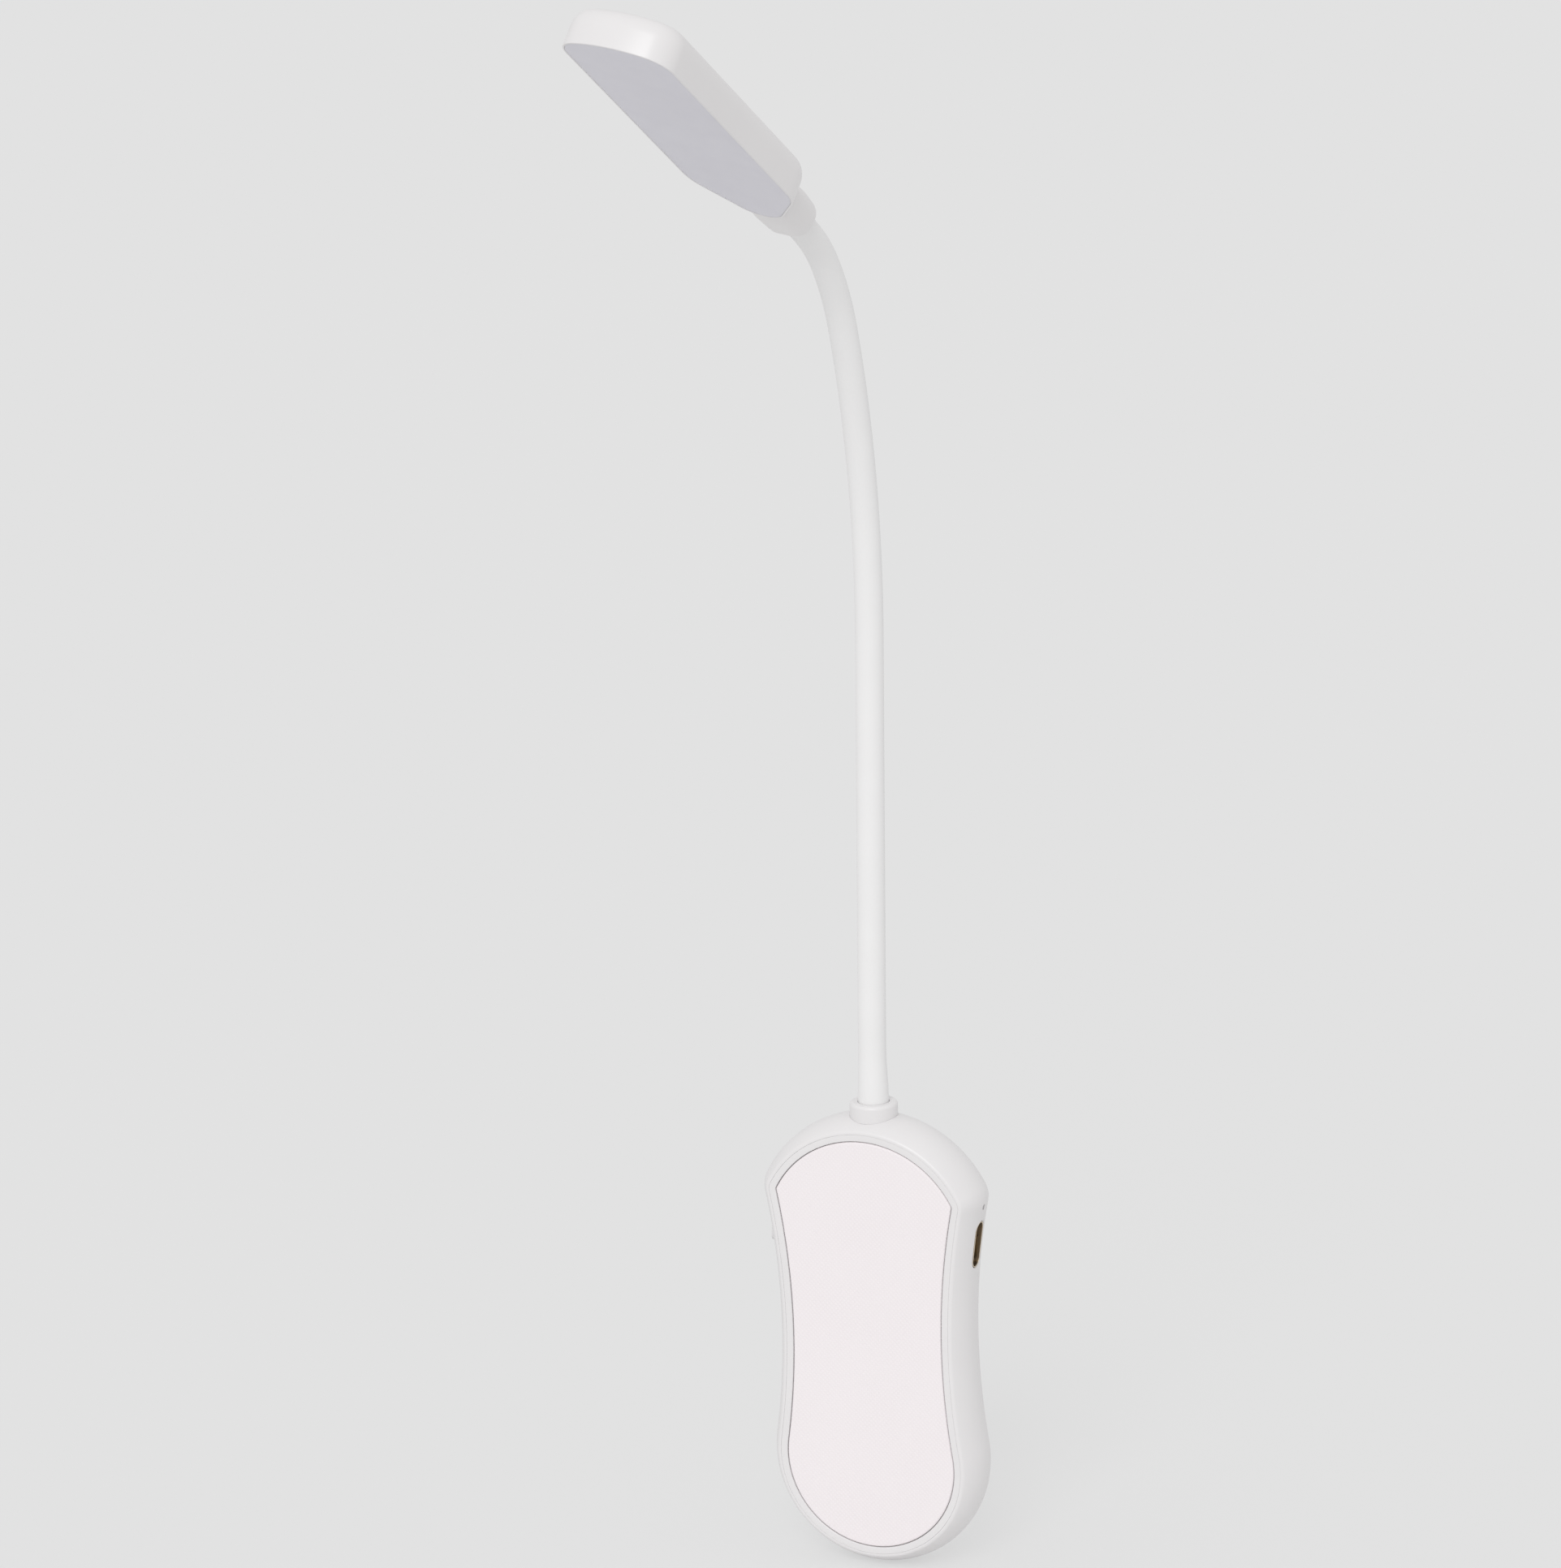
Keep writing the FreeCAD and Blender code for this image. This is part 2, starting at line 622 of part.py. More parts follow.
# Clip: a bowed plate with ears round the pin, made from its side profile
foot_inner = housing_depth + jaw_gap + jaw_pad_thickness
throat = housing_depth + clip_throat
top_inner = housing_depth + clip_top_standoff
inner = [V(0, foot_inner, clip_foot), V(0, foot_inner, clip_foot + jaw_pad_length + 0.5),
         V(0, throat, clip_foot + jaw_pad_length + 6.0), V(0, throat, pin_level + 8.0),
         V(0, top_inner, clip_top)]
t = clip_thickness
outer = [V(0, top_inner + t * 0.9, clip_top), V(0, throat + t, pin_level + 7.6),
         V(0, throat + t, clip_foot + jaw_pad_length + 5.0), V(0, foot_inner + t, clip_foot + jaw_pad_length - 0.6),
         V(0, foot_inner + t, clip_foot)]
side = Part.makePolygon(inner + outer + [inner[0]])
plate = Part.Face(side).extrude(V(2 * clip_half, 0, 0))
plate.translate(V(-clip_half, 0, 0))
ear_inner = lug_outer + clip_side_gap
for sx in (-1, 1):
    ex = min(sx * ear_inner, sx * (ear_inner + clip_ear_thickness))
    ear = rod(lug_radius, (ex, pin_y, pin_level), (ex + clip_ear_thickness, pin_y, pin_level))
    ear = ear.fuse(box(ex, ex + clip_ear_thickness, pin_y, throat + 0.5, pin_level - lug_radius,
                       pin_level + lug_radius))
    plate = plate.fuse(ear)
front_face = Part.Face(Part.Wire([
    Part.makeLine(V(-clip_half, 0, clip_foot + clip_corner), V(-clip_half, 0, clip_top - clip_corner)),
    Part.Arc(V(-clip_half, 0, clip_top - clip_corner), V(-clip_half + clip_corner * 0.293, 0, clip_top - clip_corner * 0.293),
             V(-clip_half + clip_corner, 0, clip_top)).toShape(),
    Part.makeLine(V(-clip_half + clip_corner, 0, clip_top), V(clip_half - clip_corner, 0, clip_top)),
    Part.Arc(V(clip_half - clip_corner, 0, clip_top), V(clip_half - clip_corner * 0.293, 0, clip_top - clip_corner * 0.293),
             V(clip_half, 0, clip_top - clip_corner)).toShape(),
    Part.makeLine(V(clip_half, 0, clip_top - clip_corner), V(clip_half, 0, clip_foot + clip_corner)),
    Part.Arc(V(clip_half, 0, clip_foot + clip_corner), V(clip_half - clip_corner * 0.293, 0, clip_foot + clip_corner * 0.293),
             V(clip_half - clip_corner, 0, clip_foot)).toShape(),
    Part.makeLine(V(clip_half - clip_corner, 0, clip_foot), V(-clip_half + clip_corner, 0, clip_foot)),
    Part.Arc(V(-clip_half + clip_corner, 0, clip_foot), V(-clip_half + clip_corner * 0.293, 0, clip_foot + clip_corner * 0.293),
             V(-clip_half, 0, clip_foot + clip_corner)).toShape()]))
plate = plate.common(front_face.extrude(V(0, 60, 0)))
plate = plate.cut(rod(pin_radius + pin_gap, (-30, pin_y, pin_level), (30, pin_y, pin_level)))
save(plate.removeSplitter(), "clip_arm")

# Hinge pin, pressed into both lugs, with its head on the right
pin_end = ear_inner + clip_ear_thickness + 0.2
pin = rod(pin_radius, (-pin_end, pin_y, pin_level), (pin_end, pin_y, pin_level))
pin = pin.fuse(rod(pin_radius + 0.5, (pin_end, pin_y, pin_level), (pin_end + pin_head, pin_y, pin_level)))
save(pin.removeSplitter(), "clip_pin")

# Torsion spring: coil round the pin, a leg up the clip's inner face and a tail in the lug's slot
turn_end = spring_turns * spring_pitch / 2.0
leg_angle = math.pi / 2.0


def coil_point(t):
    # t counts turns; the coil starts and ends on the side that faces the clip
    angle = leg_angle + 2.0 * math.pi * t
    return V(-turn_end + spring_pitch * t, pin_y + spring_radius * math.sin(angle),
             pin_level - spring_radius * math.cos(angle))


tail_y = pin_y + spring_radius
tail_z = pin_level - spring_bend
bend_x = -turn_end - spring_bend
half_bend = spring_bend * math.sqrt(0.5)
wire_edges = [Part.makeLine(V(-lug_outer + 0.4, tail_y, tail_z), V(bend_x, tail_y, tail_z)),
              Part.Arc(V(bend_x, tail_y, tail_z), V(bend_x + half_bend, tail_y, pin_level - half_bend),
                       coil_point(0.0)).toShape()]
for k in range(4 * spring_turns):
    wire_edges.append(Part.Arc(coil_point(k / 4.0), coil_point((k + 0.5) / 4.0), coil_point((k + 1) / 4.0)).toShape())
wire_edges.append(Part.makeLine(coil_point(spring_turns), coil_point(spring_turns) + V(0, 0, spring_leg)))
section = [V(-lug_outer + 0.4, tail_y + spring_wire * math.cos(a), tail_z + spring_wire * math.sin(a))
           for a in [2.0 * math.pi * (k + 0.5) / spring_sides for k in range(spring_sides + 1)]]
spring = Part.Wire(wire_edges).makePipeShell([Part.makePolygon(section)], True, False)
save(spring, "clip_spring")
samples = [coil_point(k / 40.0) for k in range(40 * spring_turns + 1)]
least = min((samples[a] - samples[b]).Length for a in range(len(samples)) for b in range(a + 20, len(samples)))
print("least gap between the spring's turns, mm:", round(least - 2 * spring_wire, 2))

# Toothed jaw pad on the clip's foot
pad_low = clip_foot + 0.8
teeth = int(jaw_pad_length / tooth_pitch)
saw = [V(0, foot_inner, pad_low), V(0, foot_inner, pad_low + teeth * tooth_pitch)]
for k in range(teeth, 0, -1):
    saw.append(V(0, foot_inner - jaw_pad_thickness + tooth_depth, pad_low + k * tooth_pitch))
    saw.append(V(0, foot_inner - jaw_pad_thickness, pad_low + (k - 0.5) * tooth_pitch))
saw.append(V(0, foot_inner - jaw_pad_thickness + tooth_depth, pad_low))
saw.append(saw[0])
jaw = Part.Face(Part.makePolygon(saw)).extrude(V(2 * jaw_pad_half, 0, 0))
jaw.translate(V(-jaw_pad_half, 0, 0))
save(jaw, "jaw_pad")
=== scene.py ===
import math
import bmesh
import bpy
import numpy as np
from mathutils import Matrix, Vector


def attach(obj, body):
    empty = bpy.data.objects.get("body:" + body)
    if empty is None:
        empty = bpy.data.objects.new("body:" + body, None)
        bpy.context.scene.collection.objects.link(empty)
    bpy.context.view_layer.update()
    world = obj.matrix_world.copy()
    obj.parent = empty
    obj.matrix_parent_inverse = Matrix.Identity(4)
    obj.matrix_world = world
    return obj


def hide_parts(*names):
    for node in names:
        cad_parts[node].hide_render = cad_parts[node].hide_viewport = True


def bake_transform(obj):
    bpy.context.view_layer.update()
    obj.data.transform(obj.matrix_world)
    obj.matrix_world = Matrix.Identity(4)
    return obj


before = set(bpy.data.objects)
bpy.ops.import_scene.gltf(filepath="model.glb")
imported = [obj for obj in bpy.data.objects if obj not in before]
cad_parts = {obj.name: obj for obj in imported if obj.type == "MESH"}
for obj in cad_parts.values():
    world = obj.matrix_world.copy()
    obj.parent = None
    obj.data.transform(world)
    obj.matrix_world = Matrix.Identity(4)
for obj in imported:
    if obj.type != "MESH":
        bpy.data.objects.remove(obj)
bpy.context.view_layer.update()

# Clip lamp on a gooseneck. Shapes are worked out in millimetres and become metres when a mesh is made.
# X points right, Y points back, Z points up; the grip panel's front lies at y = 0.
mm = 0.001


# Shapes

def ringSurface(rings, firstPole, lastPole):
    # rings (count, around, 3): quads join neighbouring rings, and a fan closes each end at its pole
    count, around = rings.shape[:2]
    points = np.vstack([rings.reshape(-1, 3), [firstPole], [lastPole]])
    i, j = np.meshgrid(np.arange(count - 1), np.arange(around), indexing="ij")
    here = (i * around + j).ravel()
    beside = (i * around + (j + 1) % around).ravel()
    quads = np.stack([here, beside, beside + around, here + around], 1)
    k = np.arange(around)
    nxt = (k + 1) % around
    last = (count - 1) * around
    fans = np.vstack([np.stack([nxt, k, np.full(around, count * around)], 1),
                      np.stack([last + k, last + nxt, np.full(around, count * around + 1)], 1)])
    return points, quads.tolist() + fans.tolist()


def boxSurface(low, high):
    # eight corners and six faces between two opposite corners
    choice = np.array([[a, b, c] for a in (0, 1) for b in (0, 1) for c in (0, 1)])
    points = np.where(choice == 0, np.array(low, float), np.array(high, float))
    return points, [[0, 1, 3, 2], [4, 6, 7, 5], [0, 4, 5, 1], [2, 3, 7, 6], [0, 2, 6, 4], [1, 5, 7, 3]]


def join(*parts):
    # several closed surfaces as one list of points and faces
    points, faces, start = [], [], 0
    for partPoints, partFaces in parts:
        points.append(partPoints)
        faces += [[n + start for n in face] for face in partFaces]
        start += len(partPoints)
    return np.vstack(points), faces


def smoothShade(mesh, angle=32.0):
    # smooth shading that keeps edges sharper than the angle
    mesh.polygons.foreach_set("use_smooth", np.ones(len(mesh.polygons), bool))
    mesh.set_sharp_from_angle(angle=math.radians(angle))
    mesh.update()


def put(name, data):
    # a new object in the scene
    thing = bpy.data.objects.new(name, data)
    bpy.context.scene.collection.objects.link(thing)
    return thing


def mend(mesh, merge=0.0, sliver=0.0, flat=0.0, outward=False):
    # merges close points, takes slivers away, makes faces within an angle whole and turns all faces outward
    work = bmesh.new()
    work.from_mesh(mesh)
    if merge:
        bmesh.ops.remove_doubles(work, verts=work.verts, dist=merge)
    if sliver:
        bmesh.ops.dissolve_degenerate(work, dist=sliver, edges=work.edges)
    if flat:
        bmesh.ops.dissolve_limit(work, angle_limit=math.radians(flat), verts=work.verts, edges=work.edges)
    if outward:
        bmesh.ops.recalc_face_normals(work, faces=work.faces)
    work.to_mesh(mesh)
    work.free()


def makeMesh(name, surface, angle=32.0):
    points, faces = surface
    mesh = bpy.data.meshes.new(name)
    mesh.from_pydata((np.asarray(points, float) * mm).tolist(), [], faces)
    mend(mesh, merge=1e-7, outward=True)
    smoothShade(mesh, angle)
    return put(name, mesh)


def settle(thing, angle=32.0):
    # the modifiers' result becomes the piece's own mesh
    bpy.context.view_layer.update()
    shown = thing.evaluated_get(bpy.context.evaluated_depsgraph_get())
    mesh = bpy.data.meshes.new_from_object(shown)
    thing.modifiers.clear()
    thing.data = mesh
    smoothShade(mesh, angle)
    return thing


def carve(thing, tool, how="DIFFERENCE", angle=32.0):
    # cuts the tool out of a piece, or adds it, and throws the tool away
    step = thing.modifiers.new("carve", "BOOLEAN")
    step.operation = how
    step.solver = "EXACT"
    step.object = tool
    settle(thing, angle)
    bpy.data.objects.remove(tool)
    # points that the cut left almost on one another become one, and slivers go
    mend(thing.data, merge=2e-6, sliver=1e-6)
    smoothShade(thing.data, angle)
    return thing


def soften(thing, width, segments=3, limit=30.0, angle=32.0):
    # rounds the edges that are sharper than the limit
    step = thing.modifiers.new("soften", "BEVEL")
    step.width = width * mm
    step.segments = segments
    step.limit_method = "ANGLE"
    step.angle_limit = math.radians(limit)
    step.harden_normals = False
    step.use_clamp_overlap = True
    return settle(thing, angle)


def copyOf(node, name):
    # copy of a CAD node's mesh, merged, with its flat faces made whole
    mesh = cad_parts[node].data.copy()
    mesh.name = name
    mesh.materials.clear()
    mend(mesh, merge=2e-6, flat=1.0, outward=True)
    smoothShade(mesh)
    return put(name, mesh)


def roundedLine(corners, steps=6):
    # corners (u, v, radius): each corner with a radius becomes an arc that touches both of its runs
    line = []
    for n, (u, v, radius) in enumerate(corners):
        if radius == 0 or n in (0, len(corners) - 1):
            line.append((u, v))
            continue
        here = np.array([u, v])
        back = np.array(corners[n - 1][:2]) - here
        ahead = np.array(corners[n + 1][:2]) - here
        back /= np.linalg.norm(back)
        ahead /= np.linalg.norm(ahead)
        half = math.acos(float(np.clip(back @ ahead, -1, 1))) / 2
        centre = here + (back + ahead) / np.linalg.norm(back + ahead) * radius / math.sin(half)
        first = here + back * radius / math.tan(half) - centre
        final = here + ahead * radius / math.tan(half) - centre
        for t in np.linspace(0, 1, steps + 1):
            way = first * (1 - t) + final * t
            line.append(tuple(centre + way / np.linalg.norm(way) * radius))
    return np.array(line)


def offsetRings(outline, profile, place):
    # every outline point moves along its normal by the profile's offset, and place puts it in space
    points, normals = outline
    flat = points[None, :, :] + normals[None, :, :] * profile[:, None, :1]
    level = np.broadcast_to(profile[:, None, 1], flat.shape[:2])
    return place(flat[..., 0], level, flat[..., 1])


def alongY(across, level, up):
    return np.stack([across, level, up], -1)


def turned(profile, axis, centre, around=64):
    # profile (radius, height) turned about an axis through a centre point; ends close at the axis
    angle = np.linspace(0, 2 * np.pi, around, endpoint=False)
    radius = profile[:, 0][:, None]
    first = radius * np.cos(angle)
    second = radius * np.sin(angle)
    height = np.broadcast_to(profile[:, 1][:, None], first.shape)
    order = {"z": (first, second, height), "y": (first, height, second), "x": (height, first, second)}[axis]
    rings = np.stack(order, -1) + np.array(centre, float)
    ends = np.zeros((2, 3)) + np.array(centre, float)
    ends[:, "xyz".index(axis)] += profile[[0, -1], 1]
    return ringSurface(rings, ends[0], ends[1])


# Outline of the grip panel, which the cover and the housing follow

vase = {
    "waistHalf": 15.0,
    "sideRadius": 140.0,
    "shoulderHeight": 27.6,
    "archRadius": 20.0,
    "footRadius": 16.9,
    "cornerRadius": 0.9,
    "samples": (72, 16, 60, 84, 60, 16),
}


def vaseOutline():
    # six tangent arcs: point = centre + radius * direction; the normal is reversed on the hollow sides
    v = vase
    sideX = v["waistHalf"] + v["sideRadius"]
    footZ = -math.sqrt((v["sideRadius"] + v["footRadius"]) ** 2 - sideX ** 2)
    shoulder = sideX - math.sqrt(v["sideRadius"] ** 2 - v["shoulderHeight"] ** 2)
    archZ = v["shoulderHeight"] - math.sqrt(v["archRadius"] ** 2 - shoulder ** 2)
    r1 = v["archRadius"] - v["cornerRadius"]
    r2 = v["sideRadius"] + v["cornerRadius"]
    span = math.hypot(sideX, archZ)
    along = (r1 ** 2 - r2 ** 2 + span ** 2) / (2 * span)
    across = math.sqrt(r1 ** 2 - along ** 2)
    ux, uz = sideX / span, -archZ / span
    corner = (along * ux - across * uz, archZ + along * uz + across * ux)
    aArch = math.atan2(corner[1] - archZ, corner[0])
    aSide = math.atan2(corner[1], corner[0] - sideX)
    aFoot = math.atan2(footZ, -sideX) % (2 * math.pi)
    arcs = [((0, archZ), v["archRadius"], 1, math.pi - aArch, aArch),
            (corner, v["cornerRadius"], 1, aArch, aSide - math.pi),
            ((sideX, 0), v["sideRadius"], -1, aSide, aFoot),
            ((0, footZ), v["footRadius"], 1, aFoot - math.pi, -aFoot),
            ((-sideX, 0), v["sideRadius"], -1, math.pi - aFoot, math.pi - aSide),
            ((-corner[0], corner[1]), v["cornerRadius"], 1, 2 * math.pi - aSide, math.pi - aArch)]
    points, normals = [], []
    for (centre, radius, side, start, end), count in zip(arcs, v["samples"]):
        angle = np.linspace(start, end, count, endpoint=False)
        way = np.stack([np.cos(angle), np.sin(angle)], 1)
        points.append(np.array(centre) + radius * way)
        normals.append(side * way)
    return np.vstack(points), np.vstack(normals)


vaseLine = vaseOutline()

housing = {
    "depth": 12.4,
    "opening": 1.45,      # offsets from the panel's edge
    "crease": 2.0,
    "bulge": 4.2,
    "cavity": 1.0,
    "ledgeDepth": 1.55,
    "cavityBack": 10.8,
    "openRound": 0.03,
    "rimRound": 0.75,
    "backRound": 0.7,
    "sideLevel": 18.9,
    "socketHole": (9.18, 3.5),
    "buttonHole": (7.24, 3.44),
    "holeLip": 0.16,
    "screws": ((-12.5, 29.8), (12.5, 29.8), (0.0, -37.2)),
    "pipeLevel": 26.3,
    "pipeHole": (1.12, 1.1),
    "pipeLip": 0.05,
    "slotReach": 5.0,
    "collarSeat": (4.53, 41.4, 60.0),     # radius, start and end
    "neckBore": (2.93, 33.0, 42.0),
    "screwHole": {"bore": 1.2, "start": 9.0, "well": 2.0, "floor": 1.1, "mouth": 2.3, "flare": 0.15,
                  "end": 14.0},
}
midDepth = housing["depth"] / 2
sideRise = housing["bulge"] - housing["crease"]
sideArc = (midDepth ** 2 + sideRise ** 2) / (2 * sideRise)


def sideProfile(y):
    # round side of the housing: offset at a depth, on an arc from front to back
    return housing["bulge"] - sideArc + np.sqrt(sideArc ** 2 - (y - midDepth) ** 2)


def wallAt(y, z):
    # half width of the housing at a depth and height of its hollow side
    return (vase["waistHalf"] + vase["sideRadius"]
            - np.sqrt((vase["sideRadius"] - sideProfile(y)) ** 2 - z ** 2))


def pillLine(length, height, steps=14):
    # slot outline, long along z: points (y, z) about its middle, with their normals
    r = height / 2
    top = np.linspace(0, np.pi, steps)
    way = np.stack([np.cos(top), np.sin(top)], 1)
    upper = way * r + [0, length / 2 - r]
    lower = -way * r - [0, length / 2 - r]
    return np.vstack([upper, lower]), np.vstack([way, -way])


def sideSlot(outline, level, side, lip, inner):
    # cutter for a slot in the side: it widens by the lip where it meets the round wall
    profile = np.array([(0, -inner), (0, -lip * 2.2), (lip * 0.3, -lip), (lip, -0.02), (lip * 1.6, 0.6),
                        (lip * 1.6, 2.0)])
    points, normals = outline
    flat = points[None] + normals[None] * profile[:, None, :1]
    y = flat[..., 0] + midDepth
    z = flat[..., 1] + level
    x = side * (wallAt(y, z) + profile[:, None, 1])
    rings = np.stack([x, y, z], -1)
    ends = [side * (wallAt(midDepth, level) + profile[k, 1]) for k in (0, -1)]
    return ringSurface(rings, (ends[0], midDepth, level), (ends[1], midDepth, level))


# Materials

def newMaterial(name):
    material = bpy.data.materials.new(name)
    material.use_nodes = True
    nodes, links = material.node_tree.nodes, material.node_tree.links
    shader = next(n for n in nodes if n.type == "BSDF_PRINCIPLED")
    place = nodes.new("ShaderNodeTexCoord")
    return material, nodes, links, shader, place.outputs["Object"]


def stretched(nodes, links, source, scale, turn=(0, 0, 0)):
    # the coordinates scaled to features per metre, for a pattern with a direction
    spot = nodes.new("ShaderNodeMapping")
    spot.inputs["Scale"].default_value = scale
    spot.inputs["Rotation"].default_value = turn
    links.new(source, spot.inputs["Vector"])
    return spot.outputs["Vector"]


def noise(nodes, links, source, scale, detail=2.0, rough=0.5):
    cloud = nodes.new("ShaderNodeTexNoise")
    cloud.inputs["Scale"].default_value = scale
    cloud.inputs["Detail"].default_value = detail
    cloud.inputs["Roughness"].default_value = rough
    links.new(source, cloud.inputs["Vector"])
    return cloud.outputs["Fac"]


def ramp(nodes, links, source, stops):
    # colours or grey values along a factor
    band = nodes.new("ShaderNodeValToRGB")
    while len(band.color_ramp.elements) < len(stops):
        band.color_ramp.elements.new(0.5)
    for element, (spot, colour) in zip(band.color_ramp.elements, stops):
        element.position = spot
        element.color = (*colour, 1) if isinstance(colour, tuple) else (colour, colour, colour, 1)
    links.new(source, band.inputs["Fac"])
    return band.outputs["Color"]


def paint(nodes, links, source, stops, target):
    links.new(ramp(nodes, links, source, stops), target)


def worn(nodes, links, spot, shader, scale, rough):
    # roughness between two values over a cloud
    cloud = noise(nodes, links, spot, scale)
    paint(nodes, links, cloud, ((0.3, rough[0]), (0.7, rough[1])), shader.inputs["Roughness"])


def bump(nodes, links, shader, height, depth):
    relief = nodes.new("ShaderNodeBump")
    relief.inputs["Distance"].default_value = depth * mm
    relief.inputs["Strength"].default_value = 1.0
    links.new(height, relief.inputs["Height"])
    links.new(relief.outputs["Normal"], shader.inputs["Normal"])


metal = {"Metallic": 1.0}


def finish(name, tones, cloud, rough, grain, depth, stretch=None, values=None):
    # two close tones over a soft cloud, roughness over a finer one and a bump from the finest grain
    material, nodes, links, shader, spot = newMaterial(name)
    if stretch:
        spot = stretched(nodes, links, spot, stretch)
    tone = noise(nodes, links, spot, cloud)
    paint(nodes, links, tone, ((0.3, tones[0]), (0.7, tones[1])), shader.inputs["Base Color"])
    sheen = noise(nodes, links, spot, cloud * 3.1)
    paint(nodes, links, sheen, ((0.25, rough[0]), (0.75, rough[1])), shader.inputs["Roughness"])
    bump(nodes, links, shader, noise(nodes, links, spot, grain, 3.0, 0.6), depth)
    for socket, value in (values or {}).items():
        shader.inputs[socket].default_value = value
    return material


whitePlastic = finish(
    "whitePlastic", tones=((0.779, 0.763, 0.767), (0.791, 0.776, 0.779)),
    cloud=60.0, rough=(0.32, 0.39), grain=5200.0, depth=0.003,
    values={"Specular IOR Level": 0.5})
neckSilicone = finish(
    "neckSilicone", tones=((0.836, 0.830, 0.830), (0.850, 0.844, 0.844)),
    cloud=90.0, rough=(0.50, 0.60), grain=3800.0, depth=0.006,
    values={"Specular IOR Level": 0.40, "Sheen Weight": 0.05, "Sheen Roughness": 0.4})
brightSteel = finish(
    "brightSteel", tones=((0.56, 0.56, 0.57), (0.66, 0.66, 0.67)),
    cloud=400.0, rough=(0.22, 0.36), grain=2500.0, depth=0.003,
    stretch=(0.06, 1.0, 1.0), values=metal)
springSteel = finish(
    "springSteel", tones=((0.44, 0.44, 0.46), (0.56, 0.56, 0.58)),
    cloud=500.0, rough=(0.24, 0.38), grain=3000.0, depth=0.003,
    values=metal)
socketSteel = finish(
    "socketSteel", tones=((0.62, 0.52, 0.40), (0.74, 0.64, 0.50)),
    cloud=300.0, rough=(0.26, 0.36), grain=2400.0, depth=0.002,
    values=metal)
brass = finish(
    "brass", tones=((0.70, 0.54, 0.26), (0.80, 0.64, 0.34)),
    cloud=300.0, rough=(0.28, 0.40), grain=2600.0, depth=0.003,
    values=metal)
cellFoil = finish(
    "cellFoil", tones=((0.66, 0.67, 0.69), (0.76, 0.77, 0.79)),
    cloud=110.0, rough=(0.25, 0.45), grain=240.0, depth=0.05,
    values=metal)
greyFoam = finish(
    "greyFoam", tones=((0.16, 0.16, 0.17), (0.25, 0.25, 0.26)),
    cloud=900.0, rough=(0.85, 0.98), grain=1500.0, depth=0.08)
chipBlack = finish(
    "chipBlack", tones=((0.030, 0.030, 0.034), (0.046, 0.046, 0.052)),
    cloud=700.0, rough=(0.45, 0.60), grain=6000.0, depth=0.004)
boardWhite = finish(
    "boardWhite", tones=((0.82, 0.82, 0.82), (0.90, 0.90, 0.90)),
    cloud=200.0, rough=(0.35, 0.45), grain=2500.0, depth=0.004)
chipYellow = finish(
    "chipYellow", tones=((0.86, 0.76, 0.36), (0.92, 0.84, 0.48)),
    cloud=800.0, rough=(0.30, 0.42), grain=3000.0, depth=0.004,
    values={"Coat Weight": 0.4, "Coat Roughness": 0.15})
tapeGrey = finish(
    "tapeGrey", tones=((0.70, 0.70, 0.71), (0.78, 0.78, 0.79)),
    cloud=400.0, rough=(0.70, 0.85), grain=1800.0, depth=0.01)
jawRubber = finish(
    "jawRubber", tones=((0.50, 0.50, 0.51), (0.58, 0.58, 0.59)),
    cloud=220.0, rough=(0.62, 0.74), grain=4200.0, depth=0.01,
    values={"Specular IOR Level": 0.35})
pipeClear = finish(
    "pipeClear", tones=((0.86, 0.89, 0.92), (0.92, 0.94, 0.96)),
    cloud=500.0, rough=(0.06, 0.14), grain=2500.0, depth=0.001,
    values={"Transmission Weight": 0.85, "IOR": 1.49})


panelLook = {"pitch": 0.62, "height": 0.012, "ground": ((0.868, 0.816, 0.830), (0.880, 0.830, 0.844)),
             "dotHighlight": (0.890, 0.846, 0.858, 1)}


def panelMaterial():
    # soft rubber with fine dots on a diamond lattice, raised by the distance to the nearest lattice point;
    # the dots are the pad's own pattern, and their lighter tone is a painted highlight on their raised tops
    material, nodes, links, shader, spot = newMaterial("panelRubber")
    perMetre = 1000 / panelLook["pitch"]
    flat = stretched(nodes, links, spot, (perMetre, 0, perMetre), (0, math.radians(45), 0))
    dots = nodes.new("ShaderNodeTexVoronoi")
    dots.inputs["Scale"].default_value = 1.0
    dots.inputs["Randomness"].default_value = 0.0
    links.new(flat, dots.inputs["Vector"])
    raised = ramp(nodes, links, dots.outputs["Distance"], ((0.16, 1.0), (0.40, 0.0)))
    tint = nodes.new("ShaderNodeMix")
    tint.data_type = "RGBA"
    links.new(raised, tint.inputs["Factor"])
    cloud = noise(nodes, links, spot, 70.0)
    low, high = panelLook["ground"]
    paint(nodes, links, cloud, ((0.3, low), (0.7, high)), tint.inputs["A"])
    # painted highlight: the raised dots get a lighter tone than the ground around them
    tint.inputs["B"].default_value = panelLook["dotHighlight"]
    links.new(tint.outputs["Result"], shader.inputs["Base Color"])
    worn(nodes, links, spot, shader, 240.0, (0.56, 0.64))
    bump(nodes, links, shader, raised, panelLook["height"])
    shader.inputs["Specular IOR Level"].default_value = 0.35
    return material


